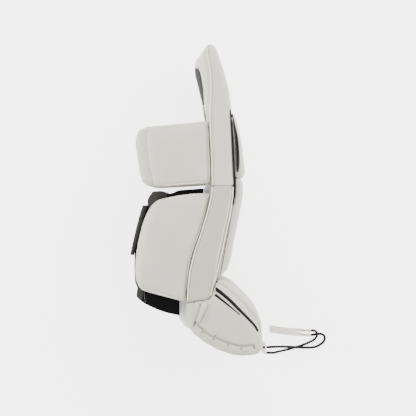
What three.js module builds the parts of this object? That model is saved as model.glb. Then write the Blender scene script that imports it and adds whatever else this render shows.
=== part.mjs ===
// A hockey goalie's leg pad, lying on its outer side as it does on a bench.
// X runs from behind the calf to the front face, Y from the toe up to the thigh,
// and Z across the pad's width, from the outer side that it rests on to the inner side.
// The origin is the middle of the footprint that the pad covers, at the surface it rests on.
import * as THREE from "three";

// The padded body, in millimetres
const PAD_LENGTH = 848; // toe to the top of the thigh rise, seen from the side
const PAD_DEPTH = 209; // back of the ankle to the tip of the toe, seen from the side
const PAD_WIDTH = 280; // across the knee and the shin
const EDGE_RADIUS = 13; // rounding of the long edges
const ROLL_WIDTH = 46; // each raised roll beside the leg channel
const ROLL_CREST = 24; // from the pad's side to the line where the wings are sewn on
const CHANNEL_DEPTH = 24; // leg channel below the crest of the rolls
const SEAM_GAP = 0.4; // free play between two sewn pieces that touch
const KNEE_BREAK = 0.457; // where the thigh and knee section ends, as a share of the run
const ANKLE_BREAK = 0.829; // where the boot begins, as a share of the run

// The front face: a black welt, the raised knee, shin and boot panels
const WELT_DEPTH = 4;
const KNEE_FACE_DEPTH = 24;
const SHIN_FACE_DEPTH = 20;
const BOOT_FACE_DEPTH = 15.5;
const FACE_MARGIN = 12; // how far the panels stand in from the pad's sides
const PANEL_RADIUS = 8;
const INSET_DEPTH = 2.5; // black leather insets on the knee panel's sides

// The back of the pad: thigh cushion, linings and the bed for the shin
const THIGH_PAD_DEPTH = 34;
const THIGH_PAD_MARGIN = 25;
const LINING_DEPTH = 11;
const BED_PROUD = 24; // how far the bed stands behind the rolls at the ankle
const BED_CLEARANCE = 2; // between the bed and each roll

// The knee block, in two layers, and the plain wing opposite
const KNEE_REACH = 205; // from the roll to the block's back edge
const KNEE_LENGTH = 165; // along the pad
const KNEE_BASE_DEPTH = 25;
const KNEE_TOP_DEPTH = 27;
const KNEE_WING_DEPTH = 26;

// The calf wings, and the black wrap and strap inside and behind them
const CALF_REACH = 161;
const CALF_LENGTH = 292;
const CALF_WING_DEPTH = 30;
const CURL_RUN = 24; // last stretch of a wing, which curls in behind the calf
const CURL_RISE = 60; // half of what the wrap turns through behind the calf
const WRAP_DEPTH = 9;
const WRAP_STANDOFF = 9; // how far the wrap stands out behind the wings beside the strap
const WRAP_START = 20; // free space between the rolls and the wrap's front edges
const STRAP_DEPTH = 4;
const STRAP_LIFT = 9; // how far the straight strap's ends stand off the curved wrap

// The toe tab, and the elastic cord with its leather lace ends
const TAB_REACH = 15.5;
const TAB_FOOT = 10; // its end face, below and above the middle of the cords
const TAB_HEAD = 19;
const TAB_DEPTH = 12;
const CORD_DIAMETER = 7;
const CORD_SPACING = 14.4;
const CORD_SIDES = 10;
const LACE_WIDTH = 10.4;
const LACE_DEPTH = 2.4;
const LACE_SLEEVE = 7.4; // depth of the rolled end that holds the cord
const FLOOR_GAP = 0.2; // between the surface and what is laid on it

// Thigh and shin in profile. run: share of the pad's run from the top; back, front: shares of
// PAD_DEPTH; width: share of PAD_WIDTH; tilt: how much higher the front is, share of PAD_LENGTH
const LEG_ROWS = [
  { run: 0.0, back: 0.29, front: 0.329, width: 0.79, tilt: 0 },
  { run: 0.006, back: 0.262, front: 0.356, width: 0.83, tilt: 0 },
  { run: 0.0145, back: 0.241, front: 0.385, width: 0.86, tilt: 0 },
  { run: 0.045, back: 0.262, front: 0.422, width: 0.9, tilt: 0 },
  { run: 0.09, back: 0.293, front: 0.48, width: 0.93, tilt: 0 },
  { run: 0.15, back: 0.301, front: 0.542, width: 0.96, tilt: 0 },
  { run: 0.215, back: 0.29, front: 0.575, width: 0.985, tilt: 0 },
  { run: 0.3, back: 0.3, front: 0.591, width: 1, tilt: 0 },
  { run: 0.38, back: 0.316, front: 0.606, width: 1, tilt: 0 },
  { run: 0.456, back: 0.325, front: 0.622, width: 1, tilt: 0 },
  { run: 0.49, back: 0.307, front: 0.619, width: 1, tilt: 0 },
  { run: 0.55, back: 0.249, front: 0.581, width: 1, tilt: 0 },
  { run: 0.61, back: 0.175, front: 0.526, width: 1, tilt: 0 },
  { run: 0.67, back: 0.09, front: 0.477, width: 1, tilt: 0 },
  { run: 0.73, back: 0.031, front: 0.413, width: 1, tilt: 0 },
  { run: 0.78, back: 0.008, front: 0.355, width: 1, tilt: 0 },
  { run: 0.829, back: 0, front: 0.316, width: 0.99, tilt: 0.0128 },
];

// Boot in profile: each section runs from the underside (back) over a bend to the instep (front).
// back, bend, front: shares of PAD_DEPTH; the -Up columns: shares of PAD_LENGTH
const BOOT_ROWS = [
  { run: 0.83, back: 0, backUp: 0.1674, bend: 0.315, bendUp: 0.1803, front: 0.394, frontUp: 0.234, width: 0.98 },
  { run: 0.849, back: 0.003, backUp: 0.131, bend: 0.348, bendUp: 0.1664, front: 0.503, frontUp: 0.216, width: 0.97 },
  { run: 0.8685, back: 0.019, backUp: 0.095, bend: 0.426, bendUp: 0.1456, front: 0.632, frontUp: 0.187, width: 0.96 },
  { run: 0.886, back: 0.103, backUp: 0.068, bend: 0.49, bendUp: 0.1238, front: 0.748, frontUp: 0.158, width: 0.945 },
  { run: 0.915, back: 0.271, backUp: 0.036, bend: 0.615, bendUp: 0.0947, front: 0.845, frontUp: 0.131, width: 0.93 },
  { run: 0.948, back: 0.49, backUp: 0.0096, bend: 0.75, bendUp: 0.0669, front: 0.923, frontUp: 0.102, width: 0.91 },
  { run: 0.978, back: 0.71, backUp: -0.0026, bend: 0.868, bendUp: 0.0376, front: 0.974, frontUp: 0.069, width: 0.885 },
  { run: 1.0, back: 0.877, backUp: 0, bend: 0.957, bendUp: 0.0105, front: 1.0, frontUp: 0.04, width: 0.85 },
];

// Tucks that gather the boot's leather along its lower edge. depth: share of TUCK_DEPTH
const TUCK_DEPTH = 6;
const TUCK_RUN = 0.005; // half length of one tuck along the run
const TUCK_STRIP = 25; // width of the gathered strip
const TUCK_ROWS = [
  { run: 0.878, depth: 0.6 },
  { run: 0.898, depth: 0.8 },
  { run: 0.921, depth: 1 },
  { run: 0.949, depth: 1 },
  { run: 0.978, depth: 0.9 },
];

// Depths of the panels and cushions along the run, as shares of their named depths
const WELT_ROWS = [
  { run: 0.212, depth: 0.2 },
  { run: 0.25, depth: 1 },
  { run: 0.47, depth: 1 },
  { run: 0.52, depth: 0.25 },
];
const KNEE_FACE_ROWS = [
  { run: 0.216, depth: 0.07 },
  { run: 0.25, depth: 0.3 },
  { run: 0.282, depth: 0.52 },
  { run: 0.314, depth: 0.71 },
  { run: 0.346, depth: 0.8 },
  { run: 0.378, depth: 0.89 },
  { run: 0.41, depth: 1 },
  { run: 0.425, depth: 0.98 },
  { run: 0.43, depth: 0.6 },
];
const SHIN_FACE_ROWS = [
  { run: 0.4345, depth: 0.65 },
  { run: 0.44, depth: 0.83 },
  { run: 0.47, depth: 0.8 },
  { run: 0.5, depth: 0.86 },
  { run: 0.56, depth: 0.93 },
  { run: 0.63, depth: 0.95 },
  { run: 0.7, depth: 1.05 },
  { run: 0.723, depth: 1 },
  { run: 0.736, depth: 0.75 },
  { run: 0.745, depth: 0.45 },
];
const BOOT_FACE_ROWS = [
  { run: 0.831, depth: 0.55 },
  { run: 0.838, depth: 0.74 },
  { run: 0.849, depth: 0.88 },
  { run: 0.8685, depth: 1 },
  { run: 0.886, depth: 1 },
  { run: 0.915, depth: 0.87 },
  { run: 0.948, depth: 0.52 },
  { run: 0.978, depth: 0.25 },
];
const THIGH_PAD_ROWS = [
  { run: 0.016, depth: 0.06 },
  { run: 0.036, depth: 0.5 },
  { run: 0.05, depth: 0.84 },
  { run: 0.063, depth: 1 },
  { run: 0.07, depth: 1 },
  { run: 0.077, depth: 0.74 },
  { run: 0.11, depth: 0.63 },
  { run: 0.155, depth: 0.52 },
  { run: 0.195, depth: 0.37 },
  { run: 0.23, depth: 0.2 },
  { run: 0.26, depth: 0.16 },
  { run: 0.445, depth: 0.16 },
];
const THIGH_LINING_ROWS = [
  { run: 0.0775, depth: 1 },
  { run: 0.11, depth: 0.84 },
  { run: 0.136, depth: 0.62 },
  { run: 0.16, depth: 0.38 },
  { run: 0.193, depth: 0.28 },
];
const KNEE_LINING_ROWS = [
  { run: 0.2, depth: 0.26 },
  { run: 0.25, depth: 0.26 },
  { run: 0.444, depth: 0.26 },
];
const BED_ROWS = [
  { run: 0.4475, depth: 0.35 },
  { run: 0.454, depth: 0.66 },
  { run: 0.56, depth: 0.7 },
  { run: 0.79, depth: 0.86 },
  { run: 0.829, depth: 1 },
  { run: 0.849, depth: 0.9 },
  { run: 0.8685, depth: 0.42 },
  { run: 0.875, depth: 0.12 },
];

// Black inset on the knee panel's side: its two long edges, as shares of KNEE_FACE_DEPTH
const INSET_ROWS = [
  { run: 0.225, near: 0.05, far: 0.12 },
  { run: 0.26, near: 0.07, far: 0.28 },
  { run: 0.307, near: 0.12, far: 0.55 },
  { run: 0.355, near: 0.14, far: 0.62 },
  { run: 0.395, near: 0.12, far: 0.52 },
  { run: 0.412, near: 0.18, far: 0.38 },
];

// Knee block, from its top edge down. run: where a row leaves the roll; rise: how much higher its
// back end is, share of KNEE_LENGTH; base, top: reach of each layer, shares of KNEE_REACH;
// depth: share of the layer's depth
const KNEE_ROWS = [
  { run: 0.251, rise: -0.085, base: 0.833, top: 0.741, depth: 0.5 },
  { run: 0.261, rise: -0.09, base: 0.934, top: 0.792, depth: 0.85 },
  { run: 0.278, rise: -0.1, base: 0.97, top: 0.812, depth: 1 },
  { run: 0.317, rise: -0.082, base: 0.978, top: 0.816, depth: 1 },
  { run: 0.365, rise: -0.05, base: 0.964, top: 0.8, depth: 1 },
  { run: 0.406, rise: -0.045, base: 0.943, top: 0.783, depth: 1 },
  { run: 0.43, rise: -0.055, base: 0.914, top: 0.757, depth: 1 },
  { run: 0.44, rise: -0.064, base: 0.858, top: 0.739, depth: 0.85 },
  { run: 0.446, rise: -0.06, base: 0.767, top: 0.701, depth: 0.5 },
];

// Calf wings, from the knee down. rise: how much higher the back end is, share of CALF_LENGTH;
// reach: share of CALF_REACH; bow: arch of the row, share of CALF_LENGTH; depth: share of the wing's;
// stand: how far the wrap stands out behind the wing, share of WRAP_STANDOFF
const CALF_ROWS = [
  { run: 0.481, rise: -0.068, reach: 0.9, bow: 0.018, depth: 0.5, stand: 2.2 },
  { run: 0.49, rise: -0.062, reach: 0.94, bow: 0.015, depth: 0.85, stand: 1.6 },
  { run: 0.502, rise: -0.051, reach: 0.971, bow: 0.011, depth: 1, stand: 1.2 },
  { run: 0.541, rise: 0, reach: 1, bow: 0.005, depth: 1, stand: 1 },
  { run: 0.595, rise: 0.046, reach: 1, bow: 0, depth: 1, stand: 1 },
  { run: 0.656, rise: 0.074, reach: 0.958, bow: 0, depth: 1, stand: 0.9 },
  { run: 0.717, rise: 0.093, reach: 0.922, bow: 0, depth: 1, stand: 0.5 },
  { run: 0.765, rise: 0.096, reach: 0.898, bow: 0, depth: 1, stand: 0.3 },
  { run: 0.796, rise: 0.106, reach: 0.872, bow: 0, depth: 1, stand: 0.3 },
  { run: 0.813, rise: 0.112, reach: 0.835, bow: 0, depth: 0.85, stand: 0.3 },
  { run: 0.827, rise: 0.116, reach: 0.78, bow: 0, depth: 0.5, stand: 0.4 },
];

// The wrap reaches past the wings, towards the knee and towards the ankle
const WRAP_KNEE_ROWS = [
  { run: 0.464, rise: -0.03, reach: 0.88, bow: -0.006, stand: 2.1 },
  { run: 0.472, rise: -0.052, reach: 0.9, bow: 0.006, stand: 2.4 },
];
const WRAP_ANKLE_ROWS = [
  { run: 0.838, rise: 0.128, reach: 0.805, bow: -0.02, stand: 0.4 },
  { run: 0.8505, rise: 0.158, reach: 0.83, bow: -0.05, stand: 0.4 },
];

// Straight calf strap. lift: how far it stands off the wrap, share of STRAP_LIFT
const STRAP_ROWS = [
  { run: 0.503, lift: 1 },
  { run: 0.541, lift: 0.45 },
  { run: 0.595, lift: 0 },
  { run: 0.656, lift: 0.12 },
  { run: 0.702, lift: 0.55 },
];

// Routes of the two halves of the toe cord and of their lace ends, chosen by hand. Each point is
// [forward, up] from the middle of the tab's end, then its height above the resting surface
const UPPER_CORD = [
  [0, 7.2, 140], [12, 8.5, 139.5], [24, 8, 132], [35, 6.5, 117], [44, 4, 96], [53, 1, 72],
  [63, -2.5, 48], [74, -5, 29], [87, -7, 18], [101, -8.5, 12.5], [114, -9.5, 9],
  [126, -10, 5], [138, -10, 3.7], [151, -8, 3.7], [164, -2, 3.7], [174.5, 6.5, 3.7],
  [179, 17, 3.7], [176.5, 25.5, 3.7], [168.5, 29.7, 3.7], [158.5, 30, 3.7],
  [148.5, 28.2, 3.7], [138, 27, 3.7],
];
const LOWER_CORD = [
  [0, -7.2, 140], [11, -8, 139.5], [20, -9, 131], [28, -9.8, 113], [35.5, -11, 90],
  [43, -13, 66], [51.5, -14.5, 42], [61.5, -15, 22], [72, -14.4, 9], [82, -12, 4.2],
  [94, -8.6, 3.7], [107, -5, 3.7], [120.5, 0.2, 3.7], [134, 6, 3.9], [146, 12.8, 6.4],
  [153.2, 21.7, 10.2], [155.5, 30.5, 11.7], [152, 37.5, 9.4], [146, 40.3, 5.5], [138, 40.2, 3.7],
];
const UPPER_LACE = [
  [137.6, 26.9], [124, 27.4], [106, 29.2], [76.5, 31.3], [47, 35.2], [19, 39.3],
];
const LOWER_LACE = [
  [137.6, 40.2], [124, 40.4], [106, 41.4], [76.5, 42.2], [47, 46], [17.5, 50.1],
];

const LEATHER = { color: 0xd9d8cf, roughness: 0.55, metalness: 0 };
const BLACK_LEATHER = { color: 0x1d1d1e, roughness: 0.5, metalness: 0 };
const NYLON = { color: 0x232324, roughness: 0.85, metalness: 0 };
const LINING = { color: 0xdadae2, roughness: 0.8, metalness: 0 };
const LACE = { color: 0xe6ddcf, roughness: 0.7, metalness: 0 };

const group = new THREE.Group();

function add(name, geometry, look) {
  const mesh = new THREE.Mesh(geometry, new THREE.MeshStandardMaterial(look));
  mesh.name = name;
  group.add(mesh);
  return mesh;
}

// A smooth curve through one column of a table, read at a place along its run
function smooth(rows, column, run) {
  let i = 0;
  while (i < rows.length - 2 && rows[i + 1].run < run) i += 1;
  const [p, q] = [rows[i], rows[i + 1]];
  const span = q.run - p.run;
  const slope = (a, b) => (b[column] - a[column]) / (b.run - a.run);
  const start = slope(rows[Math.max(i - 1, 0)], q) * span;
  const end = slope(p, rows[Math.min(i + 2, rows.length - 1)]) * span;
  const t = THREE.MathUtils.clamp((run - p.run) / span, 0, 1);
  const u = 1 - t;
  return (1 + 2 * t) * u * u * p[column] + t * u * u * start
    + t * t * (3 - 2 * t) * q[column] - t * t * u * end;
}

// Straight lines through one column of a table
function straight(rows, column, run) {
  const i = THREE.MathUtils.clamp(rows.findIndex((row) => row.run >= run), 1, rows.length - 1);
  const last = rows[rows.length - 1];
  const [p, q] = run > last.run ? [last, last] : [rows[i - 1], rows[i]];
  const t = q === p ? 0 : THREE.MathUtils.clamp((run - p.run) / (q.run - p.run), 0, 1);
  return p[column] + (q[column] - p[column]) * t;
}

const spread = (from, to, steps) => Array.from({ length: steps + 1 }, (_, i) => from + ((to - from) * i) / steps);

// One section of the padded body, seen from the side: from its back over a bend to its front
function shapeAt(run) {
  const inBoot = run > ANKLE_BREAK;
  const read = (column) => smooth(inBoot ? BOOT_ROWS : LEG_ROWS, column, run);
  const point = (x, y) => new THREE.Vector2(x * PAD_DEPTH, y * PAD_LENGTH);
  const width = Math.min(read("width"), 1) * PAD_WIDTH;
  if (inBoot) {
    const [back, bend, front] = ["back", "bend", "front"].map((end) => point(read(end), read(`${end}Up`)));
    return { back, bend, front, width };
  }
  const back = point(read("back"), 1 - run);
  const front = point(read("front"), 1 - run + read("tilt"));
  return { back, bend: back.clone().lerp(front, 0.5), front, width };
}

// The body is drawn at these runs, with straight lines between them
const breakGap = SEAM_GAP / PAD_LENGTH;
const thighRuns = [
  ...LEG_ROWS.map((row) => row.run).filter((run) => run < KNEE_BREAK - 0.01), KNEE_BREAK - breakGap,
];
const shinRuns = spread(KNEE_BREAK, ANKLE_BREAK - breakGap, 11);
const bootRuns = [
  ...spread(ANKLE_BREAK + 0.001, 0.868, 4), ...spread(0.874, 1, 20),
];
const shapes = [...thighRuns, ...shinRuns, ...bootRuns].map((run) => ({ run, ...shapeAt(run) }));

function sectionAt(run) {
  const i = THREE.MathUtils.clamp(shapes.findIndex((shape) => shape.run >= run - 1e-9), 1, shapes.length - 1);
  const [p, q] = [shapes[i - 1], shapes[i]];
  const t = THREE.MathUtils.clamp((run - p.run) / (q.run - p.run), 0, 1);
  const [back, bend, front] = ["back", "bend", "front"].map((end) => p[end].clone().lerp(q[end], t));
  const width = THREE.MathUtils.lerp(p.width, q.width, t);
  const rear = back.distanceTo(bend);
  return {
    back, bend, front, width, rear,
    depth: rear + bend.distanceTo(front),
    low: (PAD_WIDTH - width) / 2,
    high: (PAD_WIDTH + width) / 2,
  };
}

// A table's own runs together with every run of the body between its first and last
function runsAlong(rows, ...more) {
  const own = [...rows.map((row) => row.run), ...more];
  const [first, last] = [Math.min(...own), Math.max(...own)];
  const apart = (run) => own.every((other) => Math.abs(other - run) > 0.002);
  const body = shapes.map((shape) => shape.run).filter((run) => run > first && run < last && apart(run));
  return [...new Set([...own, ...body])].sort((a, b) => a - b);
}

// A point of a section, at a distance forward of its back and a height across the width
function place(section, forward, z) {
  const { back, bend, front, rear } = section;
  const [from, to, past] = forward <= rear ? [back, bend, forward] : [bend, front, forward - rear];
  const direction = to.clone().sub(from).normalize();
  return new THREE.Vector3(from.x + direction.x * past, from.y + direction.y * past, z);
}

// A closed solid through sections. Each section has two sides, over and under, with the same
// number of points, which share their first and last point. A bent section also has a fold, the
// line between the two sides that its end caps follow.
function loft(sections) {
  const positions = [];
  const index = [];
  const keep = (points) => points.map((p) => positions.push(p.x, p.y, p.z) / 3 - 1);
  const strip = (a, b) => {
    for (let i = 0; i < a.length - 1; i += 1) {
      if (a[i + 1] !== b[i + 1]) index.push(a[i], a[i + 1], b[i + 1]);
      if (a[i] !== b[i]) index.push(a[i], b[i + 1], b[i]);
    }
  };
  const rings = sections.map(({ over, under, fold }) => {
    const top = keep(over);
    const ends = [top[0], top[top.length - 1]];
    return { over: top, ends, under: [ends[0], ...keep(under.slice(1, -1)), ends[1]], fold };
  });
  rings.slice(1).forEach((ring, i) => {
    strip(rings[i].over, ring.over);
    strip(ring.under, rings[i].under);
  });
  const cap = ({ over, under, ends, fold }, turn) => {
    const lines = fold ? [over, [ends[0], ...keep(fold.slice(1, -1)), ends[1]], under] : [over, under];
    if (turn) lines.reverse();
    lines.slice(1).forEach((line, i) => strip(lines[i], line));
  };
  cap(rings[0], true);
  cap(rings[rings.length - 1], false);
  const geometry = new THREE.BufferGeometry();
  geometry.setAttribute("position", new THREE.Float32BufferAttribute(positions, 3));
  geometry.setIndex(signedVolume(positions, index) < 0 ? index.reverse() : index);
  geometry.computeVertexNormals();
  return geometry;
}

function signedVolume(positions, index) {
  const corner = (i) => new THREE.Vector3().fromArray(positions, index[i] * 3);
  let volume = 0;
  for (let i = 0; i < index.length; i += 3) {
    volume += corner(i).dot(corner(i + 1).cross(corner(i + 2))) / 6;
  }
  return volume;
}

// Where a section of the padded body bends round its rolls and its channel
function bodyRing(run, channel, gathered = false) {
  const section = sectionAt(run);
  const { rear, depth, low, high, width } = section;
  const radius = Math.min(EDGE_RADIUS, (depth - rear) * 0.7);
  const shoulder = radius * 0.3;
  const frontHalf = [
    [rear, 0], [depth - radius, 0], [depth - shoulder, shoulder], [depth, radius], [depth, width * 0.3],
  ];
  const tuck = gathered ? tuckAt(run) : 0;
  const groove = gathered ? 0.5 * TUCK_DEPTH * THREE.MathUtils.smoothstep(run, 0.862, 0.885) : 0;
  const strip = Math.min(TUCK_STRIP, rear * 0.8);
  const backHalf = gathered
    ? [[rear, 0], [strip, groove], [strip * 0.45, tuck], [0, 0.35 * ROLL_WIDTH + tuck], [channel, ROLL_WIDTH]]
    : [[rear, 0], [radius, 0], [shoulder, shoulder], [0, ROLL_CREST], [channel, ROLL_WIDTH]];
  const foldHalf = frontHalf.map(([, inward]) => [rear, inward]);
  const both = (half, middle) => [
    ...half.map(([forward, inward]) => place(section, forward, low + inward)),
    place(section, middle, PAD_WIDTH / 2),
    ...half.map(([forward, inward]) => place(section, forward, high - inward)).reverse(),
  ];
  return { over: both(frontHalf, depth), under: both(backHalf, channel), fold: both(foldHalf, rear) };
}

function tuckAt(run) {
  const dents = TUCK_ROWS.map((row) => row.depth * Math.exp(-(((run - row.run) / TUCK_RUN) ** 2)));
  return TUCK_DEPTH * Math.max(...dents);
}

add("thigh_body", loft(thighRuns.map((run) => bodyRing(run, 0))), LEATHER);
add("shin_body", loft(shinRuns.map((run) => bodyRing(run, CHANNEL_DEPTH))), LEATHER);
add("boot_body", loft(bootRuns.map((run) => {
  const channel = Math.min(CHANNEL_DEPTH, sectionAt(run).depth * 0.45);
  return bodyRing(run, channel, true);
})), LEATHER);

// A panel on the body, from one distance forward of a section's back to another
function panelRing(run, inner, outer, margin, radius) {
  const section = sectionAt(run);
  const [low, high] = [section.low + margin, section.high - margin];
  const thickness = Math.abs(outer - inner);
  const round = Math.min(radius, thickness * 0.45) * Math.sign(outer - inner);
  const inset = Math.abs(round);
  const middle = (inner + outer) / 2;
  const width = high - low;
  const over = [
    [middle, low], [outer - round, low], [outer - round * 0.3, low + inset * 0.3], [outer, low + inset],
    [outer, (low + high) / 2], [outer, high - inset], [outer - round * 0.3, high - inset * 0.3],
    [outer - round, high], [middle, high],
  ];
  const under = [
    [middle, low], [inner, low], [inner, low + width * 0.1], [inner, low + width * 0.3],
    [inner, (low + high) / 2], [inner, high - width * 0.3], [inner, high - width * 0.1],
    [inner, high], [middle, high],
  ];
  const points = (list) => list.map(([forward, z]) => place(section, forward, z));
  return { over: points(over), under: points(under) };
}

// How far the welt stands on the body. Past its end the panel over it comes down to the body.
const weltEnd = WELT_ROWS[WELT_ROWS.length - 1].run;
const PANEL_LANDING = 0.01;
const weltOver = (run) => {
  const height = SEAM_GAP + WELT_DEPTH * straight(WELT_ROWS, "depth", run);
  return height * THREE.MathUtils.clamp(1 - (run - weltEnd) / PANEL_LANDING, 0, 1);
};

add("knee_welt", loft(runsAlong(WELT_ROWS).map((run) => {
  const { depth } = sectionAt(run);
  return panelRing(run, depth + SEAM_GAP, depth + weltOver(run), 2, 1);
})), BLACK_LEATHER);

function facePanel(rows, depth, overWelt, landing = []) {
  return loft(runsAlong(rows, ...landing).map((run) => {
    const inner = sectionAt(run).depth + (overWelt ? weltOver(run) : 0) + SEAM_GAP;
    return panelRing(run, inner, inner + depth * straight(rows, "depth", run), FACE_MARGIN, PANEL_RADIUS);
  }));
}

add("knee_face", facePanel(KNEE_FACE_ROWS, KNEE_FACE_DEPTH, true), LEATHER);
add("shin_face", facePanel(SHIN_FACE_ROWS, SHIN_FACE_DEPTH, true, [weltEnd, weltEnd + PANEL_LANDING]), LEATHER);
add("boot_face", facePanel(BOOT_FACE_ROWS, BOOT_FACE_DEPTH, false), LEATHER);

// Insets lie on both side walls of the knee panel
function insetRing(run, side) {
  const section = sectionAt(run);
  const base = section.depth + weltOver(run) + SEAM_GAP;
  const [near, far] = ["near", "far"].map((edge) => base + KNEE_FACE_DEPTH * straight(INSET_ROWS, edge, run));
  const wall = side > 0 ? section.high - FACE_MARGIN : section.low + FACE_MARGIN;
  const [inner, outer] = [wall + side * SEAM_GAP, wall + side * (SEAM_GAP + INSET_DEPTH)];
  const middle = (inner + outer) / 2;
  return {
    over: [place(section, near, middle), place(section, near, outer), place(section, far, outer), place(section, far, middle)],
    under: [place(section, near, middle), place(section, near, inner), place(section, far, inner), place(section, far, middle)],
  };
}

add("knee_inset_inner", loft(runsAlong(INSET_ROWS).map((run) => insetRing(run, 1))), BLACK_LEATHER);
add("knee_inset_outer", loft(runsAlong(INSET_ROWS).map((run) => insetRing(run, -1))), BLACK_LEATHER);

// Cushion and linings behind the thigh and the knee. They narrow where the knee block starts.
const kneeMargin = Math.max(KNEE_BASE_DEPTH + KNEE_TOP_DEPTH, KNEE_WING_DEPTH) + 2 * BED_CLEARANCE;
const backMargin = (run) => THREE.MathUtils.lerp(
  THIGH_PAD_MARGIN, Math.max(kneeMargin, THIGH_PAD_MARGIN), THREE.MathUtils.smoothstep(run, 0.21, 0.245),
);
const thighPadBack = (run) => -SEAM_GAP - THIGH_PAD_DEPTH * straight(THIGH_PAD_ROWS, "depth", run);

add("thigh_back_pad", loft(runsAlong(THIGH_PAD_ROWS).map(
  (run) => panelRing(run, -SEAM_GAP, thighPadBack(run), backMargin(run), 9),
)), LEATHER);

function liningPanel(rows) {
  const [first, last] = [rows[0].run, rows[rows.length - 1].run];
  const under = THIGH_PAD_ROWS.map((row) => row.run).filter((run) => run > first && run < last);
  return loft(runsAlong(rows, ...under).map((run) => {
    const inner = thighPadBack(run) - SEAM_GAP;
    return panelRing(run, inner, inner - LINING_DEPTH * straight(rows, "depth", run), backMargin(run) + 6, 3);
  }));
}

add("thigh_back_lining", liningPanel(THIGH_LINING_ROWS), NYLON);
add("knee_back_lining", liningPanel(KNEE_LINING_ROWS), NYLON);

// The bed lies on the thigh's end and sinks into the channel of the shin and the boot
const bedTop = [KNEE_BREAK + 0.001, KNEE_BREAK + 0.004];
add("leg_bed", loft(runsAlong(BED_ROWS, ...bedTop).map((run) => {
  const sunk = THREE.MathUtils.clamp((run - bedTop[0]) / (bedTop[1] - bedTop[0]), 0, 1) * CHANNEL_DEPTH;
  return panelRing(
    run, sunk - SEAM_GAP, -BED_PROUD * straight(BED_ROWS, "depth", run), ROLL_WIDTH + BED_CLEARANCE, 10,
  );
})), LINING);

// A row of a wing, seen from the side: from the roll's back line to the wing's back edge
function wingLine(row, reach, length) {
  const section = sectionAt(row.run);
  const front = place(section, 0, 0);
  front.x -= SEAM_GAP;
  const end = new THREE.Vector3(front.x - reach, front.y + row.rise * length, 0);
  const bow = (row.bow ?? 0) * length;
  const at = (distance, z) => {
    const share = distance / front.distanceTo(end);
    const point = front.clone().lerp(end, share);
    point.y += bow * 4 * share * Math.max(0, 1 - share);
    point.z = z;
    return point;
  };
  return { at, length: front.distanceTo(end) };
}

// How far a wing or the wrap curls inwards, at a distance past the start of the curl
const curlRadius = (row) => CURL_RUN + WRAP_STANDOFF * row.stand;
const curlIn = (past, row) => CURL_RISE * (1 - Math.sqrt(Math.max(0, 1 - (past / curlRadius(row)) ** 2)));
const CURL_STEPS = [0, 1 / 3, 2 / 3, 1];

// A table's rows, with more between them where the body has a run
function rowsAlong(rows) {
  const columns = Object.keys(rows[0]).filter((column) => column !== "run");
  return runsAlong(rows).map((run) => ({
    run, ...Object.fromEntries(columns.map((column) => [column, smooth(rows, column, run)])),
  }));
}

// A soft slab that stands on one side of the pad. inner and seam: its inner surface and the line
// that it is sewn on along, inwards of the pad's side
function slab(rows, { reachOf, length, depth, inner, seam, curls, side }) {
  return loft(rowsAlong(rows).map((row) => {
    const line = wingLine(row, reachOf(row), length);
    const tail = curls ? CURL_RUN : line.length * 0.12;
    const flat = line.length - tail;
    const stations = [
      { at: 0, share: 0.4 }, { at: flat * 0.03, share: 0.72 }, { at: flat * 0.12, share: 0.94 },
      { at: flat * 0.4, share: 1 }, { at: flat * 0.7, share: 1 },
      ...CURL_STEPS.map((step, i) => ({ at: flat + tail * step, share: [1, 0.95, 0.8, 0.4][i] })),
    ];
    const lining = inner - depth * 0.4 * (1 - row.depth);
    const bend = (distance) => (curls ? curlIn(Math.max(0, distance - flat), row) : 0);
    const height = (inwards) => (side > 0 ? PAD_WIDTH - inwards : inwards);
    const over = stations.map(({ at, share }, i) => {
      const edge = i === 0 || i === stations.length - 1;
      const thick = depth * row.depth * (edge ? share * 0.6 : share);
      return line.at(at, height(lining + bend(at) - thick));
    });
    const under = stations.map(({ at }) => line.at(at, height(lining + bend(at))));
    over[0] = line.at(0, height(seam));
    under[0] = over[0];
    under[under.length - 1] = over[over.length - 1];
    return { over, under };
  }));
}

const kneeSlab = (layer, depth, start, seam, side) => slab(KNEE_ROWS, {
  reachOf: (row) => KNEE_REACH * row[layer], length: KNEE_LENGTH, depth, inner: start + depth, seam, curls: false, side,
});
const baseStart = KNEE_TOP_DEPTH + SEAM_GAP;
add("knee_block_top", kneeSlab("top", KNEE_TOP_DEPTH, 0, ROLL_CREST, 1), LEATHER);
add("knee_block_base", kneeSlab("base", KNEE_BASE_DEPTH, baseStart, baseStart + 0.75 * KNEE_BASE_DEPTH, 1), LEATHER);
add("knee_wing_outer", kneeSlab("base", KNEE_WING_DEPTH, 0, ROLL_CREST, -1), LEATHER);

const calfSlab = (side) => slab(CALF_ROWS, {
  reachOf: (row) => CALF_REACH * row.reach, length: CALF_LENGTH, depth: CALF_WING_DEPTH,
  inner: CALF_WING_DEPTH, seam: ROLL_CREST, curls: true, side,
});
add("calf_wing_inner", calfSlab(1), LEATHER);
add("calf_wing_outer", calfSlab(-1), LEATHER);

// The wrap's outline at one row, from its front edge inside a wing to the middle of the calf.
// thick draws it in to its inner face.
function wrapPath(row, thick) {
  const line = wingLine(row, CALF_REACH * row.reach, CALF_LENGTH);
  const side = CALF_WING_DEPTH + SEAM_GAP + thick;
  const flat = line.length - CURL_RUN;
  const radius = curlRadius(row);
  const rise = (CURL_RISE - thick) / CURL_RISE;
  const curl = (past) => ({
    at: flat + past * ((radius - thick) / radius), in: side + curlIn(past, row) * rise,
  });
  const half = [
    ...[0, 0.5, 1].map((share) => ({ at: WRAP_START + (flat - WRAP_START) * share, in: side })),
    ...[...CURL_STEPS.slice(1).map((step) => CURL_RUN * step), radius * 0.94, radius].map(curl),
  ];
  return { line, half };
}

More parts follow.
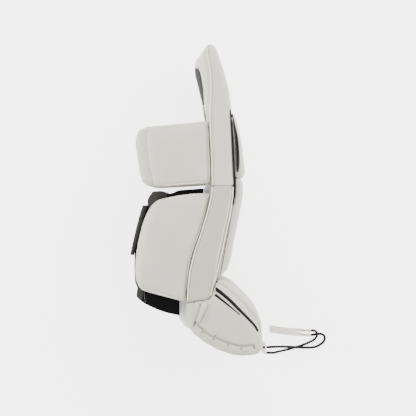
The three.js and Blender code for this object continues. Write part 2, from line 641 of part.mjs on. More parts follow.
function wrapRing(row) {
  const { line, half: outer } = wrapPath(row, 0);
  const { half: inner } = wrapPath(row, WRAP_DEPTH);
  const side = (half, high) => half.map((p) => line.at(p.at, high ? PAD_WIDTH - p.in : p.in));
  const loop = (half) => [...side(half, true), line.at(half[half.length - 1].at, PAD_WIDTH / 2), ...side(half, false).reverse()];
  const over = loop(outer);
  const under = loop(inner);
  const join = (i) => over[i].clone().lerp(under[i], 0.5).setX(Math.max(over[i].x, under[i].x) + 1);
  const ends = [join(0), join(over.length - 1)];
  return { over: [ends[0], ...over, ends[1]], under: [ends[0], ...under, ends[1]] };
}

const wrapRows = [...WRAP_KNEE_ROWS, ...CALF_ROWS.map(({ depth, ...row }) => row), ...WRAP_ANKLE_ROWS];
add("calf_wrap", loft(rowsAlong(wrapRows).map(wrapRing)), NYLON);

// The strap follows the wrap's back, moved straight back from it
function strapRing({ run, lift }) {
  const row = { run, bow: 0 };
  ["rise", "reach", "stand"].forEach((column) => { row[column] = smooth(CALF_ROWS, column, run); });
  const { line, half } = wrapPath(row, 0);
  const tail = half.slice(-3);
  const path = (shift) => [
    ...tail.map((p) => line.at(p.at + shift, PAD_WIDTH - p.in)),
    line.at(half[half.length - 1].at + shift, PAD_WIDTH / 2),
    ...[...tail].reverse().map((p) => line.at(p.at + shift, p.in)),
  ];
  const seat = SEAM_GAP + STRAP_LIFT * lift;
  const over = path(seat + STRAP_DEPTH);
  const under = path(seat);
  const ends = [0, over.length - 1].map((i) => over[i].clone().lerp(under[i], 0.5));
  ends[0].z += 1;
  ends[1].z -= 1;
  return { over: [ends[0], ...over, ends[1]], under: [ends[0], ...under, ends[1]] };
}

add("calf_strap", loft(STRAP_ROWS.map(strapRing)), NYLON);

// Toe tab: a folded piece of leather on the toe's end, from which both halves of the cord come
const toe = sectionAt(1);
const capNormal = new THREE.Vector2(toe.front.y - toe.bend.y, toe.bend.x - toe.front.x).normalize();
const onCap = (share) => toe.bend.clone().lerp(toe.front, share).addScaledVector(capNormal, SEAM_GAP);
const tabEnd = new THREE.Vector2(toe.front.x + TAB_REACH, toe.back.y - 0.3);
const tabShape = new THREE.Shape([
  onCap(0.1), new THREE.Vector2(tabEnd.x - 9, tabEnd.y - TAB_FOOT),
  new THREE.Vector2(tabEnd.x, tabEnd.y - TAB_FOOT), new THREE.Vector2(tabEnd.x, tabEnd.y + TAB_HEAD - 6),
  new THREE.Vector2(tabEnd.x - 4, tabEnd.y + TAB_HEAD), onCap(0.9),
]);
const tab = new THREE.ExtrudeGeometry(tabShape, { depth: TAB_DEPTH, bevelEnabled: false });
add("toe_tab", tab.translate(0, 0, PAD_WIDTH / 2 - TAB_DEPTH / 2), LACE);

// The cord's halves start a hair off the tab and end in leather laces that lie on the surface
class Route extends THREE.CatmullRomCurve3 {
  constructor(points) {
    super(points, false, "centripetal");
  }
}

const routeOf = (points) => new Route(points.map(
  ([forward, up, height]) => new THREE.Vector3(tabEnd.x + SEAM_GAP + forward, tabEnd.y + up, height),
));
const cordSection = new THREE.Shape(spread(0, 1, CORD_SIDES).slice(0, -1).map((turn) => new THREE.Vector2(
  (Math.cos(turn * 2 * Math.PI) * CORD_DIAMETER) / 2, (Math.sin(turn * 2 * Math.PI) * CORD_DIAMETER) / 2,
)));
const cordTube = (points) => new THREE.ExtrudeGeometry(cordSection, {
  steps: 30, extrudePath: routeOf(points), bevelEnabled: false,
});
add("toe_cord_upper", cordTube(UPPER_CORD), NYLON);
add("toe_cord_lower", cordTube(LOWER_CORD), NYLON);

function laceStrip(points) {
  const route = routeOf(points.map(([forward, up]) => [forward - SEAM_GAP, up, 0]));
  return loft(spread(0, 1, 16).map((share) => {
    const point = route.getPointAt(share);
    const along = route.getTangentAt(share);
    const across = new THREE.Vector3(-along.y, along.x, 0).multiplyScalar(LACE_WIDTH / 2);
    const depth = THREE.MathUtils.lerp(LACE_SLEEVE, LACE_DEPTH, THREE.MathUtils.smoothstep(share, 0.1, 0.25));
    const at = (side, z) => point.clone().addScaledVector(across, side).setZ(FLOOR_GAP + z);
    return {
      over: [at(-1, depth / 2), at(-0.8, depth), at(0, depth), at(0.8, depth), at(1, depth / 2)],
      under: [at(-1, depth / 2), at(-0.8, 0), at(0, 0), at(0.8, 0), at(1, depth / 2)],
    };
  }));
}

add("lace_end_upper", laceStrip(UPPER_LACE), LACE);
add("lace_end_lower", laceStrip(LOWER_LACE), LACE);

// The origin goes to the middle of the pad's footprint, without the loose cord and its laces
const loose = ["toe_cord_upper", "toe_cord_lower", "lace_end_upper", "lace_end_lower"];
const footprint = new THREE.Box3();
group.children.filter((mesh) => !loose.includes(mesh.name)).forEach((mesh) => footprint.expandByObject(mesh));
const middle = footprint.getCenter(new THREE.Vector3());
group.children.forEach((mesh) => mesh.geometry.translate(-middle.x, -middle.y, -footprint.min.z));

export default group;
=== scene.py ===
# %% [markdown]
# # An ice hockey goalie's leg pad
#
# A leg pad is a long shell of firm foam in coated leather, in three sections that hinge at their seams: thigh
# and knee, shin, and boot. Behind it stand a kneeling block and two calf flaps, with an elastic wrap between
# them. This lesson dresses a plain model of it, the frame, which says where everything is and how large. We
# load it first and read the boxes of its parts from it.

# %% Load the frame
import math

import bmesh
import bpy
import numpy as np
from mathutils import Matrix, Vector
from mathutils.bvhtree import BVHTree
from mathutils.kdtree import KDTree


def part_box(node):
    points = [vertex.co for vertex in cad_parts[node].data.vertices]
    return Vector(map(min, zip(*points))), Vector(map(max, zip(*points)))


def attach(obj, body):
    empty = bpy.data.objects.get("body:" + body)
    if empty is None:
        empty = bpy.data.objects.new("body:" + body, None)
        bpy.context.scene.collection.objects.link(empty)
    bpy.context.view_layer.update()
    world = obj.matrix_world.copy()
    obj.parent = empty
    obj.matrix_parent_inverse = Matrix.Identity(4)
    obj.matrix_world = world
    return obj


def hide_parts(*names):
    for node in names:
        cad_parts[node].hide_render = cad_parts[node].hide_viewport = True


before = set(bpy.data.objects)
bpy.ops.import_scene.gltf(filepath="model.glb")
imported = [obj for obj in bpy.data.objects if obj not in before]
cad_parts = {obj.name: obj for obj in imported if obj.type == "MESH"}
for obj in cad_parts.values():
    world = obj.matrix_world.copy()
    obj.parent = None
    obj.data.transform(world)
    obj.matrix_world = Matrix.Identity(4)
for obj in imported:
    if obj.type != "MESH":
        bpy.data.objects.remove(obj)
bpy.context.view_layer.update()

# %% [markdown]
# ## The camera
#
# The pad lies on its outer side and is seen from straight above. A long lens, three metres away, keeps the near
# and the far side almost the same size, as in a shop picture. A constraint could aim the camera, but a new one
# already looks along -Z with +Y up, so only its place and its lens are set.

# %% Camera
PIXELS, PIXEL = 416, 0.0027  # across the picture, and metres across one pixel at the pad's near side
SENSOR = 36  # millimetres
DISTANCE = 3.0  # from the camera to the near side
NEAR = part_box("shin_body")[1].z
EYE = Vector((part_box("toe_tab")[1].x - 0.1651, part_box("thigh_body")[1].y - 0.447, NEAR + DISTANCE))

camera_data = bpy.data.cameras.new("side_view")
camera_data.sensor_width = SENSOR
camera_data.lens = SENSOR * DISTANCE / (PIXELS * PIXEL)
camera = bpy.data.objects.new("side_view", camera_data)
camera.location = EYE
bpy.context.scene.collection.objects.link(camera)
bpy.context.scene.camera = camera
print(f"camera {EYE.z:.2f} m up with a {camera_data.lens:.0f} mm lens")

# %% [markdown]
# ## The toe cord
#
# One elastic cord goes through the leather tab at the toe, so two halves of it come out. Each half leaves the
# tab straight, drops to the floor under its own weight, and lies there in a loose curve. A curve object with a
# round bevel makes a cord in one step. We read its mesh, so that the braid can follow two numbers kept on each
# vertex: how far along the cord it is, and how far round.

# %% Routes and tubes
TAB_END = Vector((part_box("toe_tab")[1].x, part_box("toe_tab")[0].y + 0.010, 0))
CORD_WIDTH = 0.007
UPPER_CORD = [
    (0, 7.2, 140), (12, 8.5, 139.5), (24, 8, 132), (35, 6.5, 117), (44, 4, 96), (53, 1, 72),
    (63, -2.5, 48), (74, -5, 29), (87, -7, 18), (101, -8.5, 12.5), (114, -9.5, 9),
    (126, -10, 5), (138, -10, 3.7), (151, -8, 3.7), (164, -2, 3.7), (174.5, 6.5, 3.7),
    (179, 17, 3.7), (176.5, 25.5, 3.7), (168.5, 29.7, 3.7), (158.5, 30, 3.7),
    (148.5, 28.2, 3.7), (138, 27, 3.7),
]
LOWER_CORD = [
    (0, -7.2, 140), (11, -8, 139.5), (20, -9, 131), (28, -9.8, 113), (35.5, -11, 90),
    (43, -13, 66), (51.5, -14.5, 42), (61.5, -15, 22), (72, -14.4, 9), (82, -12, 4.2),
    (94, -8.6, 3.7), (107, -5, 3.7), (120.5, 0.2, 3.7), (134, 6, 3.9), (146, 12.8, 6.4),
    (153.2, 21.7, 10.2), (155.5, 30.5, 11.7), (152, 37.5, 9.4), (146, 40.3, 5.5), (138, 40.2, 3.7),
]


def new_piece(name, mesh):
    """An object for a mesh whose place is already in its vertices."""
    mesh.name = name
    mesh.shade_smooth()
    piece = bpy.data.objects.new(name, mesh)
    bpy.context.scene.collection.objects.link(piece)
    return piece


def smooth_route(points, steps=8):
    """A smooth curve through the points, with short even steps between them."""
    ends = [points[0] * 2 - points[1], *points, points[-1] * 2 - points[-2]]
    route = []
    for a, b, c, d in zip(ends, ends[1:], ends[2:], ends[3:]):
        tb = (b - a).length ** 0.5
        tc = tb + (c - b).length ** 0.5
        td = tc + (d - c).length ** 0.5
        for k in range(steps):
            t = tb + (tc - tb) * k / steps
            ab, bc, cd = a.lerp(b, t / tb), b.lerp(c, (t - tb) / (tc - tb)), c.lerp(d, (t - tc) / (td - tc))
            abc, bcd = ab.lerp(bc, t / tc), bc.lerp(cd, (t - tb) / (td - tb))
            route.append(abc.lerp(bcd, (t - tb) / (tc - tb)))
    return route + [points[-1].copy()]


def distances(route):
    """How far along a route each of its points is."""
    return np.cumsum([0.0] + [(b - a).length for a, b in zip(route, route[1:])])


def nearby(points):
    """A search for the nearest of some points."""
    tree = KDTree(len(points))
    for i, point in enumerate(points):
        tree.insert(point, i)
    tree.balance()
    return tree.find


def tube(name, route, radius, roundness=2):
    """A round tube along a route, as a mesh with its distance along and its turn kept on the vertices."""
    line = bpy.data.curves.new(name, "CURVE")
    line.dimensions = "3D"
    line.bevel_depth, line.bevel_resolution, line.use_fill_caps = radius, roundness, True
    spline = line.splines.new("POLY")
    spline.points.add(len(route) - 1)
    for point, place_at in zip(spline.points, route):
        point.co = (*place_at, 1)
    drawn = bpy.data.objects.new(name, line)
    bpy.context.scene.collection.objects.link(drawn)
    graph = bpy.context.evaluated_depsgraph_get()
    mesh = bpy.data.meshes.new_from_object(drawn.evaluated_get(graph))
    bpy.data.objects.remove(drawn)
    bpy.data.curves.remove(line)
    return mark_along(new_piece(name, mesh), route)


def mark_along(piece, route):
    """Keeps on each vertex how far along a route it lies, in metres, and its turn round it."""
    steps, find = distances(route), nearby(route)
    along, turn = [], []
    for vertex in piece.data.vertices:
        i = find(vertex.co)[1]
        forward = (route[min(i + 1, len(route) - 1)] - route[max(i - 1, 0)]).normalized()
        out = vertex.co - route[i]
        side = forward.cross(Vector((0, 0, 1))).normalized()
        along.append(steps[i] + out.dot(forward))
        turn.append(math.atan2(out.dot(side), out.dot(side.cross(forward))))
    for label, values in (("along", along), ("turn", turn)):
        piece.data.attributes.new(label, "FLOAT", "POINT").data.foreach_set("value", values)
    piece["length"] = float(steps[-1])
    return piece


# %% The two halves of the cord
def from_tab(points, gap=0.0004):
    """Points given in millimetres from the middle of the tab's end, in the frame."""
    return [TAB_END + Vector((gap + forward / 1000, up / 1000, z / 1000)) for forward, up, z in points]


cord_routes = {"toe_cord_upper": from_tab(UPPER_CORD), "toe_cord_lower": from_tab(LOWER_CORD)}
cords = {}
for node, points in cord_routes.items():
    route = smooth_route(points)
    cords[node] = (tube(node.replace("toe_cord", "elastic_cord"), route, CORD_WIDTH * 0.52, 3), route)
    print(f"{node}: {cords[node][0]['length'] * 1000:.0f} mm")

# %% [markdown]
# ## Finishes
#
# Coated leather has a fine pebbled grain, soft creases where it is pulled into a seam, and a colour that greys
# a little in wide clouds; in the folds it is darkened too, as painted shade. Image textures could hold all that,
# but a few noise patterns do it at any size. Each effect is a node group with its own inputs, built once and
# used by several materials. The folds are known from a number named crease that the sewing steps keep on each
# vertex.


# %% Small helpers for shader nodes
def srgb(*screen):
    """A colour picked on screen, 0 to 255, as the linear numbers that shaders take."""
    shares = [c / 255 for c in screen]
    return (*[c / 12.92 if c <= 0.04045 else ((c + 0.055) / 1.055) ** 2.4 for c in shares], 1)


class Nodes:
    """Adds nodes to one tree and joins them."""

    def __init__(self, tree):
        self.tree = tree

    def add(self, kind, **values):
        node = self.tree.nodes.new("ShaderNode" + kind)
        for key, value in values.items():
            setattr(node, key, value)
        return node

    def join(self, start, end):
        self.tree.links.new(start, end)

    def give(self, socket, value):
        """A constant goes on the socket itself, and an output is joined to it."""
        if isinstance(value, (int, float, tuple)):
            socket.default_value = value
        else:
            self.join(value, socket)

    def maths(self, operation, a, b):
        node = self.add("Math", operation=operation)
        self.give(node.inputs[0], a)
        self.give(node.inputs[1], b)
        return node.outputs[0]

    def plus(self, a, b):
        return self.maths("ADD", a, b)

    def times(self, a, b):
        return self.maths("MULTIPLY", a, b)

    def mix(self, factor, a, b):
        node = self.add("Mix", data_type="RGBA")
        for i, value in ((0, factor), (6, a), (7, b)):
            self.give(node.inputs[i], value)
        return node.outputs[2]

    def spot(self):
        """The place that is shaded, in the frame."""
        return self.add("TexCoord").outputs["Object"]

    def noise(self, scale, detail=2.0, distortion=0.0):
        node = self.add("TexNoise")
        for label, value in (("Scale", scale), ("Detail", detail), ("Distortion", distortion)):
            node.inputs[label].default_value = value
        self.join(self.spot(), node.inputs["Vector"])
        return node.outputs["Fac"]


def effect(name, inputs, outputs):
    """A node group with named inputs and outputs: its nodes, its input sockets and its output sockets."""
    tree = bpy.data.node_groups.new(name, "ShaderNodeTree")
    for label, value in inputs.items():
        kind = "NodeSocketColor" if isinstance(value, tuple) else "NodeSocketFloat"
        tree.interface.new_socket(label, in_out="INPUT", socket_type=kind).default_value = value
    for label in outputs:
        kind = "NodeSocketColor" if label == "Colour" else "NodeSocketFloat"
        tree.interface.new_socket(label, in_out="OUTPUT", socket_type=kind)
    return Nodes(tree), tree.nodes.new("NodeGroupInput").outputs, tree.nodes.new("NodeGroupOutput").inputs


# %% [markdown]
# The grain is made of small cells with a little noise over them. The creases are longer and softer, and grow
# where the leather is gathered. The colour blends the clean leather towards a greyer tone in wide random clouds,
# and in the folds it blends towards it as painted shade. The rib is the pattern of elastic and webbing: ridges
# one way, crossed by finer ones. The finer ones count X and Z together, so they go round the pad's corners unbroken.

# %% Shared effects
grain, ins, outs = effect("pebbled_grain", {"Cells": 800.0}, ["Height"])
cells = grain.add("TexVoronoi", feature="SMOOTH_F1")
grain.join(grain.spot(), cells.inputs["Vector"])
grain.join(ins["Cells"], cells.inputs["Scale"])
pebbles = grain.times(cells.outputs["Distance"], 0.8)
grain.join(grain.plus(pebbles, grain.times(grain.noise(1500), 0.3)), outs["Height"])

creases, ins, outs = effect("soft_creases", {"Crease": 0.0}, ["Height"])
wide = creases.times(creases.noise(22, 3, 0.8), 0.5)
gathered = creases.times(creases.noise(95, 4, 1.6), creases.plus(creases.times(ins["Crease"], 1.4), 0.12))
creases.join(creases.plus(wide, gathered), outs["Height"])

shaded_tone, ins, outs = effect("handled_colour", {
    "Clean": (1, 1, 1, 1), "Shade": (0.5, 0.5, 0.5, 1), "Crease": 0.0, "Clouds": 0.35}, ["Colour", "Dullness"])
specks = shaded_tone.plus(shaded_tone.times(shaded_tone.noise(7, 3), ins["Clouds"]), shaded_tone.times(shaded_tone.noise(140, 3), 0.12))
# Painted shade: the crease number pulls the colour towards Shade in folds, seams and gathers, on top of the random
# clouds and specks.
tone_and_shade_share = shaded_tone.maths("MINIMUM", shaded_tone.plus(specks, shaded_tone.times(ins["Crease"], 0.75)), 1.0)
shaded_tone.join(shaded_tone.mix(tone_and_shade_share, ins["Clean"], ins["Shade"]), outs["Colour"])
shaded_tone.join(shaded_tone.plus(shaded_tone.times(shaded_tone.noise(30, 3), 0.22), 0.36), outs["Dullness"])

ribbed, ins, outs = effect("woven_ribs", {"Ribs": 120.0}, ["Height"])
spot, round_pad = ribbed.add("SeparateXYZ"), ribbed.add("CombineXYZ")
ribbed.join(ribbed.spot(), spot.inputs[0])
ribbed.join(ribbed.plus(spot.outputs["X"], spot.outputs["Z"]), round_pad.inputs["X"])
ribbed.join(spot.outputs["Y"], round_pad.inputs["Y"])
ridges = []
for axis, scale, height in (("Y", ins["Ribs"], 0.7), ("X", ribbed.times(ins["Ribs"], 1.7), 0.4)):
    wave = ribbed.add("TexWave", wave_type="BANDS", bands_direction=axis)
    ribbed.join(round_pad.outputs[0], wave.inputs["Vector"])
    ribbed.join(scale, wave.inputs["Scale"])
    ridges.append(ribbed.times(wave.outputs["Fac"], height))
ribbed.join(ribbed.plus(*ridges), outs["Height"])
print("shared effects:", [g.name for g in bpy.data.node_groups])


# %% [markdown]
# A material places the groups round one Principled shader. Leather gets grain and creases, cloth gets ribs.


# %% Materials
def material(name, roughness, **values):
    """A material with a Principled shader: its nodes and the shader's inputs."""
    made = bpy.data.materials.new(name)
    made.use_nodes = True
    nodes = Nodes(made.node_tree)
    shader = made.node_tree.nodes["Principled BSDF"].inputs
    shader["Roughness"].default_value = roughness
    for label, value in values.items():
        shader[label.replace("_", " ").title().replace("Ior", "IOR")].default_value = value
    return made, nodes, shader


def place(nodes, group_name, **values):
    """Puts a shared effect in a material, with its own values."""
    node = nodes.add("Group", node_tree=bpy.data.node_groups[group_name])
    for label, value in values.items():
        nodes.give(node.inputs[label], value)
    return node.outputs


def raised(nodes, shader, height, distance):
    """Turns a height into a bump, with its depth in metres."""
    bump = nodes.add("Bump")
    bump.inputs["Distance"].default_value = distance
    nodes.join(height, bump.inputs["Height"])
    nodes.join(bump.outputs["Normal"], shader["Normal"])


def leather(name, clean, shade, cells=800.0, depth=0.00022, clouds=0.35, gloss=0.4, **values):
    made, nodes, shader = material(name, 0.45, specular_ior_level=gloss, **values)
    crease = nodes.add("Attribute", attribute_name="crease").outputs["Fac"]
    # The crease number darkens the colour: painted shade in folds, seams and gathers; on the laces it marks their raw
    # tan edges.
    colour = place(nodes, "handled_colour", Clean=srgb(*clean), Shade=srgb(*shade), Crease=crease, Clouds=clouds)
    nodes.join(colour["Colour"], shader["Base Color"])
    nodes.join(colour["Dullness"], shader["Roughness"])
    folds = nodes.times(place(nodes, "soft_creases", Crease=crease)["Height"], 6.0)
    raised(nodes, shader, nodes.plus(folds, place(nodes, "pebbled_grain", Cells=cells)["Height"]), depth)
    return made


def ribbed_cloth(name, clean, shade, ribs, depth, **values):
    made, nodes, shader = material(name, 0.85, specular_ior_level=0.12, **values)
    weave = place(nodes, "woven_ribs", Ribs=ribs)["Height"]
    # The rib ridges are painted lighter, a painted highlight; the noise is random tone.
    rib_light_and_tone = nodes.plus(nodes.times(weave, 0.6), nodes.times(nodes.noise(60, 4), 0.35))
    nodes.join(nodes.mix(nodes.maths("MINIMUM", rib_light_and_tone, 1.0), srgb(*shade), srgb(*clean)), shader["Base Color"])
    raised(nodes, shader, weave, depth)
    return made


COAT = {"coat_weight": 0.1, "coat_roughness": 0.35}
white_hide = leather("white_leather", (214, 211, 197), (166, 161, 143), **COAT)
# A darker copy of the white leather for the shin section: painted shade.
shaded_shin_hide = leather("shin_leather", (196, 192, 179), (150, 145, 128), **COAT)
cushion_hide = leather("cushion_leather", (242, 240, 232), (206, 202, 190), **COAT)
piping_hide = leather("piping_leather", (246, 244, 230), (222, 218, 202), cells=1100.0, depth=0.00012)
# Dark olive leather laid in the gaps between pieces: painted shade.
gap_shade_hide = leather("seam_leather", (120, 117, 104), (86, 83, 72), clouds=0.2, gloss=0.1)
black_hide = leather("black_leather", (15, 15, 16), (8, 8, 9), gloss=0.15)
lace_hide = leather("lace_leather", (255, 253, 246), (222, 196, 156), cells=1300.0, clouds=0.5, gloss=0.2)
lining_cloth = ribbed_cloth("pale_lining", (250, 250, 255), (238, 237, 246), 300.0, 0.00015, sheen_weight=0.3)
grey_cloth = ribbed_cloth("grey_lining", (96, 96, 95), (54, 54, 54), 230.0, 0.0002)
webbing = ribbed_cloth("strap_webbing", (48, 48, 45), (18, 18, 17), 110.0, 0.0004)
white_thread = ribbed_cloth("white_thread", (232, 231, 224), (205, 203, 195), 900.0, 0.0001)
grey_thread = ribbed_cloth("grey_thread", (176, 176, 178), (120, 120, 122), 900.0, 0.0001)
inset_binding = leather("inset_binding", (72, 72, 71), (44, 44, 44), gloss=0.2)
print("materials:", len(bpy.data.materials))

# %% [markdown]
# The elastic cord is braided: two sets of strands wind round it both ways. Sine waves of the distance along
# and the turn round it cross, and where a strand is on top the cord is a little higher and painted lighter, with
# painted shade between the strands.

# %% Braided cord
braid, nodes, shader = material("braided_cord", 0.6, specular_ior_level=0.15)
along, turn = (nodes.add("Attribute", attribute_name=label).outputs["Fac"] for label in ("along", "turn"))
strands = [nodes.maths("SINE", nodes.plus(nodes.times(along, 2800.0), nodes.times(turn, sign)), 0.0)
           for sign in (6, -6)]
top = nodes.maths("MAXIMUM", *strands)
# Painted highlight on the strand tops and painted shade between the strands.
nodes.join(nodes.mix(nodes.maths("MAXIMUM", top, 0.0), srgb(10, 10, 11), srgb(28, 28, 30)), shader["Base Color"])
raised(nodes, shader, top, 0.00025)

# %% [markdown]
# The calf wrap has two finishes: black panels at its sides and grey open elastic round the back of the calf.
# They meet on a slanted line, so one sum of the X and Y coordinates tells which side of it a point is on.

# %% Two tone elastic
elastic, nodes, shader = material("elastic_wrap", 0.85, specular_ior_level=0.1)
spot, panel = nodes.add("SeparateXYZ"), nodes.add("Clamp")
nodes.join(nodes.spot(), spot.inputs[0])
forward = nodes.plus(nodes.times(spot.outputs["Y"], -0.24), spot.outputs["X"])
nodes.join(nodes.times(nodes.plus(forward, 0.0935), 600.0), panel.inputs["Value"])
weave = place(nodes, "woven_ribs", Ribs=150.0)["Height"]
# Both finishes are painted lighter on the rib ridges: painted highlight.
grey_elastic = nodes.mix(nodes.times(weave, 0.8), srgb(16, 16, 15), srgb(64, 63, 60))
black_panel = nodes.mix(nodes.times(weave, 0.5), srgb(4, 4, 4), srgb(18, 18, 19))
nodes.join(nodes.mix(panel.outputs[0], grey_elastic, black_panel), shader["Base Color"])
raised(nodes, shader, weave, 0.0003)


# %% [markdown]
# ## Padded pieces
#
# A padded piece is a leather cover over foam: full in the middle of each panel and pulled in along its seams.
# Carving that by hand takes long, so we let cloth do it. Each plain solid is copied and given an even skin of
# small squares with a voxel remesh. Then a cloth simulation blows it up a little. The seams run along the
# solid's sharp edges, so near those the movement fades to nothing and the edge stays sewn.


# %% Copies and skins
WELD = 0.00002  # points closer than this are one point


def places(piece, label="co"):
    """The vertices of a piece as rows of three numbers."""
    found = np.empty(len(piece.data.vertices) * 3)
    piece.data.vertices.foreach_get(label, found)
    return found.reshape(-1, 3)


def facings(piece):
    """The direction that each vertex faces."""
    return places(piece, "normal")


def put(piece, rows):
    piece.data.vertices.foreach_set("co", rows.ravel())
    piece.data.update()


def keep_above(piece, level):
    """Moves what lies under a level up to it."""
    rows = places(piece)
    rows[:, 2] = np.maximum(rows[:, 2], level)
    put(piece, rows)


def soft_step(values, start, end):
    """0 before start and 1 after end, with a soft change between them."""
    share = np.clip((values - start) / (end - start), 0, 1)
    return share * share * (3 - 2 * share)


def merged(*nodes):
    """A copy of some plain solids with their loose triangles joined."""
    shape = bmesh.new()
    for node in nodes:
        shape.from_mesh(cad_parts[node].data)
    bmesh.ops.remove_doubles(shape, verts=shape.verts, dist=WELD)
    return shape


def as_piece(shape, name):
    """The finished bmesh as an object."""
    mesh = bpy.data.meshes.new(name)
    shape.to_mesh(mesh)
    shape.free()
    return new_piece(name, mesh)


def settle(piece):
    """Applies the modifiers of a piece to its mesh."""
    graph = bpy.context.evaluated_depsgraph_get()
    mesh = bpy.data.meshes.new_from_object(piece.evaluated_get(graph))
    piece.modifiers.clear()
    old, piece.data = piece.data, mesh
    bpy.data.meshes.remove(old)
    piece.data.name = piece.name
    piece.data.shade_smooth()


def sharp_places(shape, angle=0.6, step=0.003):
    """Points along the sharp edges of a solid, where the leather is sewn."""
    found = []
    for edge in shape.edges:
        if len(edge.link_faces) == 2 and edge.calc_face_angle(0) > angle:
            a, b = (v.co for v in edge.verts)
            count = max(1, int((b - a).length / step))
            found += [a.lerp(b, i / count) for i in range(count + 1)]
    return found


def skin(shape, name, voxel, outset):
    """An even skin over a shape, let out a little because the squares cut its corners."""
    piece = as_piece(shape, name)
    remesh = piece.modifiers.new("skin", "REMESH")
    remesh.mode, remesh.voxel_size = "VOXEL", voxel
    settle(piece)
    put(piece, places(piece) + facings(piece) * outset)
    return piece


# %% [markdown]
# The list gives each padded piece its solid, the size of its squares, how far it is let out, how far it may
# swell, how far from a seam it is fully swollen, and how full it is. The body sections are firm foam and swell
# least. The flaps are the softest.

# %% Padded pieces and their skins
PADDED = [
    ("thigh_body", "thigh_section", 0.005, 0.0014, 0.0025, 0.03, 0.9),
    ("shin_body", "shin_section", 0.005, 0.0014, 0.0025, 0.03, 0.9),
    ("boot_body", "boot_section", 0.0042, 0.0014, 0.003, 0.03, 0.85),
    ("knee_face", "knee_panel", 0.0036, 0.0010, 0.004, 0.03, 0.8),
    ("shin_face", "shin_panel", 0.004, 0.0010, 0.004, 0.03, 0.8),
    ("boot_face", "boot_panel", 0.0036, 0.0010, 0.004, 0.03, 0.8),
    ("thigh_back_pad", "thigh_cushion", 0.0034, 0.0008, 0.004, 0.03, 0.7),
    ("leg_bed", "shin_cushion", 0.0042, 0.0010, 0.005, 0.03, 0.7),
    ("knee_block_top", "kneeling_block_top", 0.0042, 0.0020, 0.005, 0.06, 0.8),
    ("knee_block_base", "kneeling_block_base", 0.0042, 0.0024, 0.005, 0.05, 0.8),
    ("knee_wing_outer", "knee_flap_outer", 0.0046, 0.0020, 0.005, 0.06, 0.75),
    ("calf_wing_inner", "calf_flap_inner", 0.0046, 0.0018, 0.007, 0.09, 0.75),
    ("calf_wing_outer", "calf_flap_outer", 0.0046, 0.0018, 0.007, 0.09, 0.75),
]
pads, sewn_edges, skins = {}, {}, {}
for node, name, voxel, outset, *_ in PADDED:
    shape = merged(node)
    sewn_edges[name] = sharp_places(shape)
    pads[name] = skin(shape, name, voxel, outset)
    skins[name] = places(pads[name])
print("skins:", {name: len(rows) for name, rows in skins.items()})

# %% [markdown]
# All the covers are blown up in one run, because Blender can work on several objects side by side. Pressure
# pushes every cover outwards and gravity is off, so the result is the fullness alone.

# %% Blow up the covers
MOMENTS = 20
FLOOR_GAP, TOUCH = 0.0003, 0.0001  # from the floor to a cover, and to the trim
for piece in pads.values():
    cloth = piece.modifiers.new("stuffing", "CLOTH")
    cloth.settings.use_pressure = True
    cloth.settings.uniform_pressure_force = 4
    cloth.settings.effector_weights.gravity = 0
    cloth.settings.quality = 4
    cloth.collision_settings.use_collision = False
for moment in range(1, MOMENTS + 1):
    bpy.context.scene.frame_set(moment)
for piece in pads.values():
    settle(piece)
bpy.context.scene.frame_set(1)


def fullness(name, reach):
    """0 on a seam and 1 well inside a panel, for each vertex of the skin."""
    find = nearby(sewn_edges[name])
    return soft_step(np.array([find(Vector(row))[2] for row in skins[name]]), 0, reach)


for _, name, _, _, swell, reach, _ in PADDED:
    piece = pads[name]
    moved = places(piece) - skins[name]
    far = np.linalg.norm(moved, axis=1, keepdims=True)
    moved *= np.minimum(1, swell / np.maximum(far, 1e-9)) * fullness(name, reach)[:, None]
    put(piece, skins[name] + moved)
    piece.modifiers.new("finer", "SUBSURF").levels = 1
    settle(piece)
    keep_above(piece, FLOOR_GAP)
    print(f"{name}: swelled by up to {np.linalg.norm(moved, axis=1).max() * 1000:.1f} mm")

# %% [markdown]
# ## Seams, creases and gathers
#
# After the cover is full it is sewn. A seam is a line on the piece that pulls the leather in. Each vertex near
# it moves against the way it faces, most on the line and less beside it, and the crease number grows there, which
# the material paints as shade. Lines that show in the side view are given as points of that picture: a ray from
# the camera through such a point meets the piece where the seam really lies.


# %% Lines on the pad
def sight(px, py, height=NEAR):
    """The point at some height that shows at a pixel of the side view."""
    scale = PIXEL * (EYE.z - height) / DISTANCE
    return Vector((EYE.x + (px - PIXELS / 2) * scale, EYE.y - (py - PIXELS / 2) * scale, height))


def tree_of(*pieces):
    """The faces of some pieces, ready for rays."""
    corners, faces = [], []
    for piece in pieces:
        start = len(corners)
        corners += [v.co.copy() for v in piece.data.vertices]
        faces += [[start + i for i in face.vertices] for face in piece.data.polygons]
    return BVHTree.FromPolygons(corners, faces)


def cast(tree, rays, lift=0.0, reach=10.0):
    """Where some rays, each a start and a direction, meet a surface."""
    found = []
    for start, way in rays:
        hit, facing, _, _ = tree.ray_cast(Vector(start), Vector(way), reach)
        if hit:
            found.append(hit + facing * lift)
    return found


def even(points, step):
    """The same line with points at even steps."""
    route = smooth_route(points, 6)
    lengths = distances(route)
    count = max(2, int(round(lengths[-1] / step)))
    found = []
    for want in np.linspace(0, lengths[-1], count + 1):
        i = min(int(np.searchsorted(lengths, want, side="right")) - 1, len(route) - 2)
        share = (want - lengths[i]) / max(lengths[i + 1] - lengths[i], 1e-9)
        found.append(route[i].lerp(route[i + 1], share))
    return found


def eased(line, rounds=2):
    """Evens out small steps in a line and keeps its ends."""
    for _ in range(rounds):
        middle = [(a + b * 2 + c) / 4 for a, b, c in zip(line, line[1:], line[2:])]
        line = line[:1] + middle + line[-1:]
    return line


